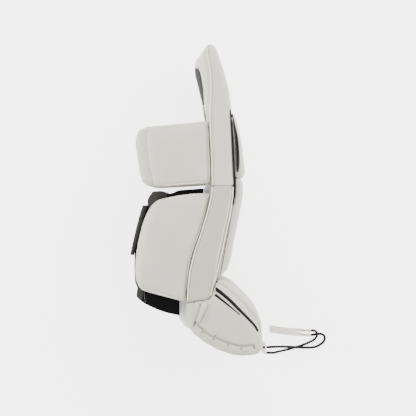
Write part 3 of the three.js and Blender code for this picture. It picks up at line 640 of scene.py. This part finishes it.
def both_sides(pixels, tree, lift=0.0, step=0.004):
    """A line of the side view on the surface that it shows on, and the same line on the pad's far side."""
    aims = even([sight(*p) for p in pixels], step)
    near = eased(cast(tree, [(EYE, (point - EYE).normalized()) for point in aims], lift))
    return near, eased(cast(tree, [((p.x, p.y, -0.2), (0, 0, 1)) for p in near], lift))


def corner_line(piece, start, end, outward, step=0.006):
    """The line along a piece's corner, from one height up the pad to another."""
    rows = places(piece)
    outward = np.array(Vector(outward).normalized())
    found = []
    for level in np.linspace(start, end, max(3, int(abs(end - start) / step))):
        near = rows[np.abs(rows[:, 1] - level) < 0.003]
        best = near[np.argmax(near @ outward)]
        found.append(Vector((best[0], level, best[2])))
    return eased(found, 4)


def closeness(rows, line, width):
    """1 on a line and less beside it, for each vertex."""
    nearest = np.full(len(rows), np.inf)
    points = np.array([list(p) for p in line])
    for a, b in zip(points, points[1:]):
        ab = b - a
        share = np.clip((rows - a) @ ab / max(ab @ ab, 1e-12), 0, 1)
        nearest = np.minimum(nearest, np.linalg.norm(rows - (a + share[:, None] * ab), axis=1))
    return np.exp(-((nearest / width) ** 2))


def crease_of(piece, values):
    """Keeps the largest crease so far on each vertex."""
    held = piece.data.attributes.get("crease") or piece.data.attributes.new("crease", "FLOAT", "POINT")
    old = np.zeros(len(piece.data.vertices))
    held.data.foreach_get("value", old)
    held.data.foreach_set("value", np.maximum(old, values))


def press(piece, lines, width, depth, mark=1.0):
    """Pulls a piece in along each line, or out where depth is negative."""
    for line in lines:
        rows, near = places(piece), closeness(places(piece), line, width)
        put(piece, rows - facings(piece) * (near * depth)[:, None])
        crease_of(piece, near * mark)


# %% [markdown]
# The thigh and knee section has a corded seam along its back corner, and the shin has one along its back and
# one along its front. The line itself pulls in a little, and the piping is laid over it afterwards. The same
# lines are sewn on both sides of the pad.

# %% Long seams of the body
thigh, shin, boot = pads["thigh_section"], pads["shin_section"], pads["boot_section"]
seams = {}
for label, piece, node, low_gap, high_gap, outward in (
    ("thigh_back", thigh, "thigh_body", 0.003, 0.012, -0.75),
    ("shin_back", shin, "shin_body", 0.004, 0.003, -0.75),
    ("shin_front", shin, "shin_body", 0.02, 0.003, 0.8),
):
    low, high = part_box(node)
    for side, up in (("near", 1), ("far", -1)):
        line = corner_line(piece, low.y + low_gap, high.y - high_gap, (outward, 0, up))
        seams[f"{label}_{side}"] = (piece, line)
for piece, line in seams.values():
    press(piece, [line], 0.005, 0.0012, 0.5)
print("seams:", {name: len(line) for name, (piece, line) in seams.items()})

# %% Boot gathers and wrinkles
GATHER = [(197, 324), (203, 330), (208, 334.5), (212, 336.5), (215, 337.5), (220, 340), (225, 342), (228, 343),
          (235, 345), (241, 346.5), (248, 346), (252, 345.5)]
TUCKS = [[(195.8, 323), (193.8, 326.5)], [(202.4, 329.4), (202.6, 333)], [(215.5, 336), (213.4, 340)],
         [(228.6, 342.4), (227.8, 346)], [(241.6, 345.8), (241.2, 349.4)], [(253.4, 345), (254.4, 348.6)]]
WRINKLES = [([(200.3, 305), (198, 314), (195, 323)], 0.0036), ([(208, 305.5), (204.5, 314), (200.3, 322)], 0.0036),
            ([(204.4, 305), (201.4, 313.5), (197.8, 322)], -0.0042), ([(193, 306), (194.5, 312), (195.5, 319)], 0.0028),
            ([(212, 303.5), (209.5, 311), (205, 322)], 0.002), ([(189, 307), (190, 313), (192, 320)], 0.0018)]
PUFFS = [[(198.5, 329), (200, 331.5)], [(205.5, 334.5), (211, 338.5)], [(217.5, 341.5), (225, 345.5)],
         [(230.5, 347), (238, 349.5)], [(244, 350), (251.5, 350)]]
boot_tree = tree_of(boot)
for pixels in PUFFS:
    press(boot, both_sides(pixels, boot_tree), 0.0065, -0.0026, 0.0)
boot_tree = tree_of(boot)
press(boot, both_sides(GATHER, boot_tree), 0.003, 0.0042)
for pixels in TUCKS:
    press(boot, both_sides(pixels, boot_tree), 0.0026, 0.005)
# The grooves of the wrinkles get a crease number, which the material paints as shade; the ridges get none.
for pixels, depth in WRINKLES:
    press(boot, both_sides(pixels, boot_tree), 0.0038, depth, 0.8 if depth > 0.003 else 0.3 if depth > 0 else 0.0)
print("boot lines:", 1 + len(TUCKS) + len(WRINKLES))


# %% [markdown]
# The flaps and the kneeling block are bound at their edges: a flat rim runs round them, then the leather rises
# to the full middle. The rim's inner line is the piece's own outline, found as the farthest vertex in each
# direction and moved inwards.


# %% Rims of the flaps and the block
def outline_of(piece, inwards, side, count=96):
    """A loop a little inside a piece's outline, on its near face (side 1) or its far face (side -1)."""
    rows = places(piece)
    centre = (rows.min(0) + rows.max(0)) / 2
    away = rows[:, :2] - centre[:2]
    angle = np.arctan2(away[:, 1], away[:, 0])
    length = np.linalg.norm(away, axis=1)
    corners = []
    for turn in np.linspace(-np.pi, np.pi, count, endpoint=False):
        close = np.abs(np.angle(np.exp(1j * (angle - turn)))) < 0.06
        corners.append(away[close][np.argmax(length[close])])
    loop = np.array(corners)
    for _ in range(3):
        loop = (np.roll(loop, 1, 0) + loop * 2 + np.roll(loop, -1, 0)) / 4
    loop *= 1 - inwards / np.linalg.norm(loop, axis=1, keepdims=True)
    found = cast(tree_of(piece), [((x, y, side), (0, 0, -side)) for x, y in loop + centre[:2]])
    return eased(found + found[:1])


for name, inwards, depth, side in (
    ("calf_flap_inner", 0.0075, 0.0007, 1), ("calf_flap_outer", 0.0075, 0.0007, -1),
    ("kneeling_block_top", 0.007, 0.0004, 1), ("knee_flap_outer", 0.007, 0.0004, -1),
):
    rim = outline_of(pads[name], inwards, side)
    press(pads[name], [rim], 0.003, depth, 0.25)
    print(f"{name}: rim of {len(rim)} points")

# %% [markdown]
# ## Piping and stitches
#
# Piping is a thin leather tube sewn into a seam. A stitch is a short length of thread, thick in the middle.
# Thousands of them could be a texture, but small real ones catch the light, so one low shape is copied along
# each line.


# %% Piping and stitches
LIFT = 0.0003  # from a surface to the middle of a thread on it


def dress(piece, finish):
    """Gives a piece its finish and lets it ride on the pad."""
    piece.data.materials.clear()
    piece.data.materials.append(finish)
    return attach(piece, "root")


def piping(name, line, radius=0.0013, finish=piping_hide):
    dress(tube(name, line, radius), finish)


def stitches(name, lines, finish=white_thread, step=0.0055, size=0.0034, thick=0.0004):
    """Short threads along some lines, all in one piece."""
    shape = bmesh.new()
    for line in [line for line in lines if len(line) > 3]:
        points = even(line, step)
        for a, b in zip(points, points[1:]):
            turn = (b - a).to_track_quat("X", "Z").to_matrix().to_4x4()
            scale = Matrix.Diagonal((size / 2, thick, thick, 1))
            bmesh.ops.create_icosphere(shape, subdivisions=1, radius=1,
                                       matrix=Matrix.Translation((a + b) / 2) @ turn @ scale)
    dress(as_piece(shape, name), finish)


def moved_by(line, by):
    return [point + Vector(by) for point in line]


def over(line, level):
    """The line with nothing under a level."""
    return [Vector((p.x, p.y, max(p.z, level))) for p in line]


body_trees = {piece: tree_of(piece) for piece in (thigh, shin)}
beside = []
for name, (piece, line) in seams.items():
    side = 1 if name.endswith("near") else -1
    back = "back" in name
    tube_on = tube(f"piping_{name}", moved_by(line, (-0.0004 if back else 0.0006, 0, 0.0011 * side)), 0.0017)
    dress(tube_on, piping_hide)
    if side < 0:
        keep_above(tube_on, TOUCH)
    row = moved_by(moved_by(line, (0.0055 if back else -0.0055, 0, 0)), (0, 0, 0.03 * side))
    beside.append(eased(cast(body_trees[piece], [(point, (0, 0, -side)) for point in row], 0.0002, 0.06)))
stitches("body_stitches", beside)
print("piping and stitched lines:", len(beside))

# %% Dress the padded pieces
# The shin section wears the darker copy of the white leather, as painted shade.
FINISHES = {"shin_cushion": lining_cloth, "shin_section": shaded_shin_hide, "thigh_cushion": cushion_hide}
for node, name, *_, fill in PADDED:
    dress(pads[name], FINISHES.get(name, white_hide))
    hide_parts(node)


# %% [markdown]
# ## Black trim and linings
#
# The welt, the insets beside the knee and the linings are flat, so they need no stuffing. Their solids are
# copied, the triangles are joined to quads, and a subdivision surface rounds them. The stripes on the boot
# are thin strips of leather sewn on: a grid whose rows follow a line on the boot.


# %% Rounded copies of the flat pieces
SHARP, FIRM = 0.9, 0.75  # an edge that turns more than SHARP keeps this share of its sharpness


def rounded(node, name, outset):
    """A copy of a solid with its faces joined to quads, its curves smoothed and its edges just rounded."""
    shape = merged(node)
    bmesh.ops.join_triangles(shape, faces=shape.faces, angle_face_threshold=0.6, angle_shape_threshold=1.5)
    hold = shape.edges.layers.float.new("crease_edge")
    for edge in shape.edges:
        if edge.calc_face_angle(0) > SHARP:
            edge[hold] = FIRM
    piece = as_piece(shape, name)
    round_off = piece.modifiers.new("rounding", "SUBSURF")
    round_off.levels = round_off.render_levels = 2
    settle(piece)
    put(piece, places(piece) + facings(piece) * outset)
    return piece


FLAT = [
    ("knee_welt", "knee_welt_strip", black_hide, "black_leather", 0.0),
    ("knee_inset_inner", "knee_inset_near", black_hide, "black_leather", 0.0),
    ("knee_inset_outer", "knee_inset_far", black_hide, "black_leather", 0.0),
    ("thigh_back_lining", "thigh_lining", grey_cloth, "black_nylon", 0.0006),
    ("knee_back_lining", "knee_lining", grey_cloth, "black_nylon", 0.0),
    ("calf_wrap", "elastic_wrap", elastic, "black_nylon", 0.0004),
    ("calf_strap", "calf_webbing", webbing, "black_nylon", 0.0002),
]
flats = {}
for node, name, finish, slot, outset in FLAT:
    flats[name] = dress(rounded(node, name, outset), finish)
    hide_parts(node)
print("flat pieces:", list(flats))


# %% [markdown]
# The wrap is soft, so it sags between the flaps: its knee end dips in the middle of each side, and its back
# stands out where the strap doesn't hold it. The strap is two layers of webbing, so its outer face moves out.
# Each change is a smooth number over the vertices, large in one place and nothing far from it.

# %% Shape the wrap and the strap
def hill(values, centre, width):
    """1 at a value and less on both sides of it."""
    return np.exp(-(((values - centre) / width) ** 2))


wrap, strap = flats["elastic_wrap"], flats["calf_webbing"]
wrap_low, wrap_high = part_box("calf_wrap")
rows = places(wrap)
knee_end = soft_step(rows[:, 1], wrap_high.y - 0.03, wrap_high.y)
rows[:, 1] += knee_end * (0.002 - 0.009 * hill(rows[:, 0], sight(170, 192).x, 0.015))
back = soft_step(-rows[:, 0], 0.09, 0.12)
rows[:, 0] -= back * (0.009 * hill(rows[:, 1], 0.003, 0.018) + 0.007 * hill(rows[:, 1], -0.240, 0.024))
put(wrap, rows)
rows, facing = places(strap), facings(strap)
rows[:, 0] -= 0.004 * soft_step(-facing[:, 0], 0.1, 0.5)
middle = (rows[:, 1].min() + rows[:, 1].max()) / 2
rows[:, 1] = middle - 0.003 + (rows[:, 1] - middle) * 1.09
put(strap, rows)


# %% [markdown]
# The wrap goes tightly round the flaps' back edges, so the flaps are pressed in under it. On the wrap's side
# of its edge, the back of each flap moves forward by a few millimetres, with a soft fold at the edge. Rays
# from the wrap could give each vertex its own depth, but one even step keeps the fold smooth.

# %% Press the flaps in under the wrap
def tuck_under(piece, covered, forward=0.009, upward=0.006):
    """Moves the covered part of a flap in from its back and ankle edges."""
    rows = places(piece)
    levels = np.arange(rows[:, 1].min(), rows[:, 1].max(), 0.005)
    backs = [rows[np.abs(rows[:, 1] - level) < 0.006, 0].min() for level in levels]
    from_back = rows[:, 0] - np.interp(rows[:, 1], levels, backs)
    from_ankle = rows[:, 1] - rows[:, 1].min()
    rows[:, 0] += forward * covered * soft_step(-from_back, -0.06, -0.03)
    rows[:, 1] += upward * covered * soft_step(-from_ankle, -0.05, -0.01)
    put(piece, rows)
    print(f"{piece.name}: {int((covered > 0.5).sum())} vertices pressed in under the wrap")


for name, edge, way in (("calf_flap_inner", wrap_high.z, 1), ("calf_flap_outer", wrap_low.z, -1)):
    tuck_under(pads[name], soft_step((edge - places(pads[name])[:, 2]) * way, 0, 0.005))


# %% Stitches of the wrap and the strap
def traced(piece, points, direction, lift=LIFT):
    """Points found on a piece by rays that all go one way."""
    direction = Vector(direction)
    return eased(cast(tree_of(piece), [(Vector(p) - direction * 0.4, direction) for p in points], lift, 0.8), 1)


def across_back(piece, level, low, high, lift=LIFT):
    """A line over the back of a piece, from one side of the pad to the other."""
    return traced(piece, [(0, level, z) for z in np.linspace(low, high, 28)], (1, 0, 0), lift)


strap_low, strap_high = places(strap)[:, 1].min(), places(strap)[:, 1].max()
stitches("strap_stitches", [across_back(strap, level, 0.058, 0.222) for level in
                            (strap_low + 0.006, strap_high - 0.006)], grey_thread)
for label, level in (("ankle", strap_low + 0.0015), ("knee", strap_high - 0.0015)):
    piping(f"strap_edge_{label}", across_back(strap, level, 0.052, 0.228, 0.0), 0.0014, black_hide)
rows = places(wrap)
MIDDLE = 0.14  # of the pad's width
behind = rows[(rows[:, 0] < -0.08) & (np.abs(rows[:, 2] - MIDDLE) < 0.06), 1]
stitches("wrap_stitches", [across_back(wrap, level, 0.065, 0.215) for level in
                           (behind.min() + 0.01, behind.max() - 0.01)], grey_thread)
side_line = [sight(*p) for p in ((144.2, 289), (143.6, 294), (143.6, 299), (145, 303))]
stitches("wrap_side_stitches", [traced(wrap, side_line, (0, 0, way)) for way in (-1, 1)],
         grey_thread, 0.004, 0.003, 0.0006)

# %% Stripes on the boot
def stripe(name, pixels, widths, tree, finish, far=False, thick=0.0006):
    """A flat strip on a surface, along a line of the side view, with its width at both ends."""
    line = both_sides(pixels, tree, LIFT)[far]
    towards = Vector((0, 0, 1 if far else -1))
    shape = bmesh.new()
    bmesh.ops.create_grid(shape, x_segments=len(line) - 1, y_segments=2, size=0.5)
    for vertex in shape.verts:
        i = round((vertex.co.x + 0.5) * (len(line) - 1))
        forward = (line[min(i + 1, len(line) - 1)] - line[max(i - 1, 0)]).normalized()
        width = widths[0] + (widths[1] - widths[0]) * i / (len(line) - 1)
        spot = line[i] + forward.cross(Vector((0, 0, 1))) * (vertex.co.y * width)
        vertex.co = (cast(tree, [(spot - towards * 0.03, towards)], 0.0004, 0.06) or [spot])[0]
    bmesh.ops.solidify(shape, geom=shape.faces[:], thickness=thick)
    bmesh.ops.recalc_face_normals(shape, faces=shape.faces)
    dress(as_piece(shape, name), finish)


boot_tree = tree_of(boot)
MAIN_STRIPE = [(215, 288.5), (220, 292), (230, 300.5), (240, 310.5), (250, 320.5), (255, 326), (258, 331.5)]
THIN_STRIPE = [(215, 294.5), (222, 300), (230, 306.5), (240, 315)]
for side, far in (("near", False), ("far", True)):
    for label, pixels, widths in (("", MAIN_STRIPE, (0.0105, 0.0062)), ("thin_", THIN_STRIPE, (0.0072, 0.0026))):
        stripe(f"boot_stripe_{label}{side}", pixels, widths, boot_tree, black_hide, far)

# %% [markdown]
# The rest of the trim is lines in the side view: a second cord along the front of the shin with a dark tube
# beside it as painted shadow of the fold, a cord where the boot's side meets its face, a light edge beside the
# knee inset, the lining that comes round the back corner of the thigh, and a darker leather strip along the
# kneeling block's edge as painted shade where its side falls away.

# %% Trim of the side view
SHIN_CORD = [(230.9, 190), (230.6, 196), (225.3, 223.4), (218.8, 250.5), (214.3, 277.6), (211, 291), (209.6, 296)]
# The dark tube beside the shin's front cord is painted shadow of the fold there.
SHIN_FOLD_SHADOW = [(233.4, 203), (229.9, 223.4), (224.9, 250.5), (221.2, 270), (218.6, 283)]
BOOT_CORD = [(216, 283), (225, 288.3), (235, 297), (245, 307), (253, 316), (258, 324), (260, 332)]
INSET_EDGE = [(231.9, 118), (233.4, 130), (235, 146), (236.1, 160), (236.9, 172)]
for label, pixels, pieces, radius, finish in (
    ("shin_cord", SHIN_CORD, (shin,), 0.0010, piping_hide),
    ("shin_fold", SHIN_FOLD_SHADOW, (shin, pads["shin_panel"]), 0.0013, gap_shade_hide),
    ("boot_cord", BOOT_CORD, (boot, pads["boot_panel"]), 0.0012, piping_hide),
    ("inset_edge", INSET_EDGE, (thigh, pads["knee_panel"], flats["knee_welt_strip"]), 0.0012, piping_hide),
):
    near, far = both_sides(pixels, tree_of(*pieces), 0.0002, 0.005)
    piping(f"{label}_near", near, radius, finish)
    piping(f"{label}_far", over(far, radius), radius, finish)
LINING_EDGE = [(199.3, 71.8), (200.9, 78.8), (202.6, 88.6), (203.3, 97.2), (203.9, 105.5)]
LINING_TAIL = [(204, 108.4), (204.9, 115), (205.6, 122)]
# A darker strip along the block's edge by the body: painted shade where the block's side falls away.
BLOCK_EDGE_SHADE = [(207.2, 124.8), (207.4, 140), (208, 160), (208.8, 184)]
thigh_tree, block_tree = tree_of(thigh, pads["thigh_cushion"]), tree_of(pads["kneeling_block_top"])
stripe("lining_edge", LINING_EDGE, (0.0056, 0.0028), thigh_tree, grey_cloth)
stripe("lining_tail", LINING_TAIL, (0.0026, 0.0022), thigh_tree, grey_cloth)
stripe("block_seam", BLOCK_EDGE_SHADE, (0.0085, 0.0085), block_tree, shaded_shin_hide)

# %% Piping round the flaps and the block
for name, side in (("calf_flap_inner", 1), ("calf_flap_outer", -1), ("kneeling_block_top", 1),
                   ("kneeling_block_base", 1), ("knee_flap_outer", -1)):
    piping(f"rim_{name}", over(eased(outline_of(pads[name], 0.004, side), 6), 0.0013))

# %% [markdown]
# The front faces get what such a pad has there: a cord round each panel and a row of stitches inside it.

# %% Front panels
def frame_on(piece, inwards):
    """A loop inside the border of a panel, on its front face."""
    rows = places(piece)
    low, high = rows.min(0) + inwards, rows.max(0) - inwards
    ups, sides = np.linspace(low[1], high[1], 24), np.linspace(low[2], high[2], 28)
    loop = ([(0, y, low[2]) for y in ups] + [(0, high[1], z) for z in sides[1:-1]] +
            [(0, y, high[2]) for y in ups[::-1]] + [(0, low[1], z) for z in sides[::-1][1:]])
    return traced(piece, loop, (-1, 0, 0))


for name in ("knee_panel", "shin_panel", "boot_panel"):
    piping(f"{name}_cord", frame_on(pads[name], 0.014))
    stitches(f"{name}_stitches", [frame_on(pads[name], 0.019)])

# %% [markdown]
# ## What shows between the pieces
#
# Two sections of a pad are never quite closed at their seam. One skin over all three sections, drawn in by 1.6
# millimetres, fills the gap of every seam with dark olive leather, painted shade that draws the gap's thin dark
# line. Where the flaps and the kneeling block are sewn to the body, a soft leather hinge in the same painted
# shade closes the gap.


# %% Inner cover and hinges
dress(skin(merged("thigh_body", "shin_body", "boot_body"), "inner_cover", 0.006, -0.0016), gap_shade_hide)
HINGE_END = 0.012  # a hinge stops this far from the ends of what it holds
for name, seam, node, side in (("calf_inner", "shin_back_near", "calf_wing_inner", 1),
                               ("calf_outer", "shin_back_far", "calf_wing_outer", -1),
                               ("block", "thigh_back_near", "knee_block_top", 1),
                               ("knee_outer", "thigh_back_far", "knee_wing_outer", -1)):
    low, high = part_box(node)
    held = [point for point in seams[seam][1] if low.y + HINGE_END < point.y < high.y - HINGE_END]
    piping(f"hinge_{name}", moved_by(held, (-0.0035, 0, -0.0125 * side)), 0.005, gap_shade_hide)
    print(f"hinge_{name}: {len(held)} points")

# %% Bindings of the knee insets
def ribbon_edges(piece, inwards, side, step=0.005):
    """A loop just inside the edges of a narrow piece that runs up the pad."""
    rows = places(piece)
    left, right = [], []
    for level in np.arange(rows[:, 1].min() + 0.004, rows[:, 1].max() - 0.004, step):
        near = rows[np.abs(rows[:, 1] - level) < 0.005]
        left.append((near[:, 0].min() + inwards, level))
        right.append((near[:, 0].max() - inwards, level))
    loop = left + right[::-1] + left[:1]
    return eased(cast(tree_of(piece), [((x, y, side), (0, 0, -side)) for x, y in loop]), 1)


for name, side in (("knee_inset_near", 1), ("knee_inset_far", -1)):
    loop = ribbon_edges(flats[name], 0.0008, side)
    piping(f"{name}_binding", moved_by(loop, (0, 0, 0.0002 * side)), 0.0009, inset_binding)
    stitches(f"{name}_stitches", [ribbon_edges(flats[name], 0.0026, side)], grey_thread,
             0.004, 0.0024, 0.0003)

# %% [markdown]
# ## Tab and laces
#
# The tab is a thick fold of raw lace leather with a punched hole, and the cord fills the hole. Each lace is a
# flat strip. Its last part is rolled round the cord, and its other end is frayed. The strip starts as a flat
# grid, and each row of it is moved to its place along the lace, rolled up more the nearer it is to the cord.


# %% Tab
tab_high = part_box("toe_tab")[1]
shape = merged("toe_tab")
bmesh.ops.dissolve_limit(shape, angle_limit=0.02, verts=shape.verts, edges=shape.edges)
bmesh.ops.bevel(shape, geom=shape.edges[:], offset=0.0016, segments=3, profile=0.5, affect="EDGES", material=-1)
bmesh.ops.subdivide_edges(shape, edges=[e for e in shape.edges if e.calc_length() > 0.006], cuts=2)
tab = dress(as_piece(shape, "toe_loop"), lace_hide)
crease_of(tab, (np.abs(places(tab)[:, 2] - MIDDLE) < 0.0046) * 0.7)
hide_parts("toe_tab")
hole = sight(263.9, 347.2, tab_high.z)
hole.x = min(hole.x, tab_high.x - 0.0042)
stub = [hole + Vector((0, 0, z)) for z in (-0.013, -0.008, -0.004, 0.0006)]
dress(tube("cord_in_tab", stub, 0.0038, 3), braid)
ring = bmesh.new()
bmesh.ops.create_circle(ring, segments=10, radius=0.0007,
                        matrix=Matrix.Translation(hole + Vector((0.0042, 0, 0))) @ Matrix.Rotation(math.pi / 2, 4, "X"))
bmesh.ops.spin(ring, geom=ring.verts[:] + ring.edges[:], cent=hole, axis=(0, 0, 1), angle=2 * math.pi, steps=28,
               use_merge=True)
bmesh.ops.remove_doubles(ring, verts=ring.verts, dist=WELD / 2)
bmesh.ops.recalc_face_normals(ring, faces=ring.faces)
dress(as_piece(ring, "tab_hole_edge"), lace_hide)

# %% Laces
LACE_WIDTH, SLEEVE = 0.0104, 0.0037
LACES = {
    "lace_upper": [(137.6, 26.9), (124, 27.4), (106, 29.2), (76.5, 31.3), (47, 35.2), (19, 39.3)],
    "lace_lower": [(137.6, 40.2), (124, 40.4), (106, 41.4), (76.5, 42.2), (47, 46), (17.5, 50.1)],
}


def lace(name, points, rows=72, columns=12):
    route = even(from_tab([(x, y, 0) for x, y in points], gap=0), 0.0017)
    shape = bmesh.new()
    bmesh.ops.create_grid(shape, x_segments=rows, y_segments=columns, size=0.5)
    edge = {}
    for vertex in shape.verts:
        along, across = vertex.co.x + 0.5, vertex.co.y
        i = min(int(along * (len(route) - 1)), len(route) - 2)
        point = route[i].lerp(route[i + 1], along * (len(route) - 1) - i)
        side = (route[i + 1] - route[i]).normalized().cross(Vector((0, 0, 1)))
        flat = float(soft_step(along, 0.12, 0.26))
        turn = across * 2 * math.pi * 0.96
        ripple = 0.0005 * math.sin(along * 23 + across * 3)
        rolled = Vector((SLEEVE * math.sin(turn), 0, SLEEVE - SLEEVE * math.cos(turn)))
        level = Vector((LACE_WIDTH * across, 0, 0.0012 + max(ripple, -0.0006) + 0.0012 * abs(across)))
        mixed = rolled.lerp(level, flat)
        vertex.co = point + side * mixed.x + Vector((0, 0, mixed.z + FLOOR_GAP))
        edge[vertex.index] = max(0, abs(across) * 2 - 0.72) * 3.4 * flat + 0.25 * (1 - flat)
    shape.verts.index_update()
    bmesh.ops.solidify(shape, geom=shape.faces[:], thickness=-0.0013)
    bmesh.ops.recalc_face_normals(shape, faces=shape.faces)
    end, back = route[-1], (route[-1] - route[-2]).normalized()
    side = back.cross(Vector((0, 0, 1)))
    for k in range(7):
        spread = (k - 3) / 3
        way = back + side * spread * 0.35
        start = end + side * spread * LACE_WIDTH * 0.42 + Vector((0, 0, 0.0016)) - back * 0.002
        reach = 0.0055 + 0.0022 * math.cos(k * 2.3)
        bmesh.ops.create_cone(
            shape, cap_ends=True, segments=6, radius1=0.0009, radius2=0.0002, depth=reach,
            matrix=Matrix.Translation(start + way * reach / 2) @ way.to_track_quat("Z", "Y").to_matrix().to_4x4())
    piece = as_piece(shape, name)
    keep_above(piece, FLOOR_GAP)
    marks = np.zeros(len(piece.data.vertices))
    for i, value in edge.items():
        marks[i] = min(value, 1)
    crease_of(piece, marks)
    return dress(piece, lace_hide)


for name, points in LACES.items():
    flats[name] = lace(name, points)
    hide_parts(name.replace("lace", "lace_end"))

# %% [markdown]
# ## Finishing the cords
#
# Each half of the cord gets the braid, and its plain solid is hidden.

# %% Finish the cords
for lace_name in LACES:
    node = lace_name.replace("lace", "toe_cord")
    piece, route = cords[node]
    dress(piece, braid)
    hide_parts(node)

# %% [markdown]
# ## Floor and light
#
# The pad is shown on plain white, in the even light of a tent. A white world gives light from everywhere, and
# wide lamps low at the sides make the surfaces that turn sideways a little brighter than those that face the
# camera. Paper that is bright enough to look white would also light the pad from below and wash out its
# edges. So the floor and the world shine more for the camera's own rays than for all others. The floor is a
# big plane and isn't part of the pad.


# %% Floor
PAPER_WHITE = 3.0  # how bright the paper looks
TENT_LIGHT = 1.65  # how bright the tent is for the pad
shape = bmesh.new()
bmesh.ops.create_grid(shape, x_segments=1, y_segments=1, size=6)
floor = as_piece(shape, "floor")
floor_finish, nodes, shader = material("floor_paper", 0.9, emission_strength=PAPER_WHITE)
nodes.join(nodes.mix(nodes.noise(3), (0.93, 0.93, 0.93, 1), (0.96, 0.96, 0.96, 1)), shader["Base Color"])
to_camera = nodes.add("LightPath").outputs["Is Camera Ray"]
nodes.join(nodes.mix(to_camera, (0, 0, 0, 1), (1, 1, 1, 1)), shader["Emission Color"])
floor.data.materials.append(floor_finish)

# %% Lamps
world = bpy.data.worlds.new("tent")
world.use_nodes = True
nodes = Nodes(world.node_tree)
background = world.node_tree.nodes["Background"].inputs
background["Color"].default_value = (1, 1, 1, 1)
to_camera = nodes.add("LightPath").outputs["Is Camera Ray"]
nodes.join(nodes.plus(nodes.times(to_camera, PAPER_WHITE), TENT_LIGHT), background["Strength"])
bpy.context.scene.world = world
for name, place_at, power in (("lamp_left", (-2.2, 0.3, 1.0), 48), ("lamp_right", (2.2, 0.5, 1.0), 48),
                              ("lamp_thigh_end", (0.2, 2.4, 1.4), 40)):
    light = bpy.data.lights.new(name, "AREA")
    light.shape, light.size, light.energy = "DISK", 1.6, power
    lamp = bpy.data.objects.new(name, light)
    lamp.location = place_at
    lamp.rotation_euler = (Vector((0, 0, 0.1)) - Vector(place_at)).to_track_quat("-Z", "Y").to_euler()
    bpy.context.scene.collection.objects.link(lamp)
print("lamps:", len(bpy.data.lights))

# %% [markdown]
# ## The last checks
#
# Anything that still dips under the floor is lifted onto it. The finished pad may stand
# a few millimetres outside the plain one, but no more.

# %% Onto the floor and the end
for piece in [o for o in bpy.data.objects if o.type == "MESH" and o is not floor and o.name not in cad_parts]:
    if places(piece)[:, 2].min() < 0:
        keep_above(piece, TOUCH)
        print(f"{piece.name}: lifted to the floor")
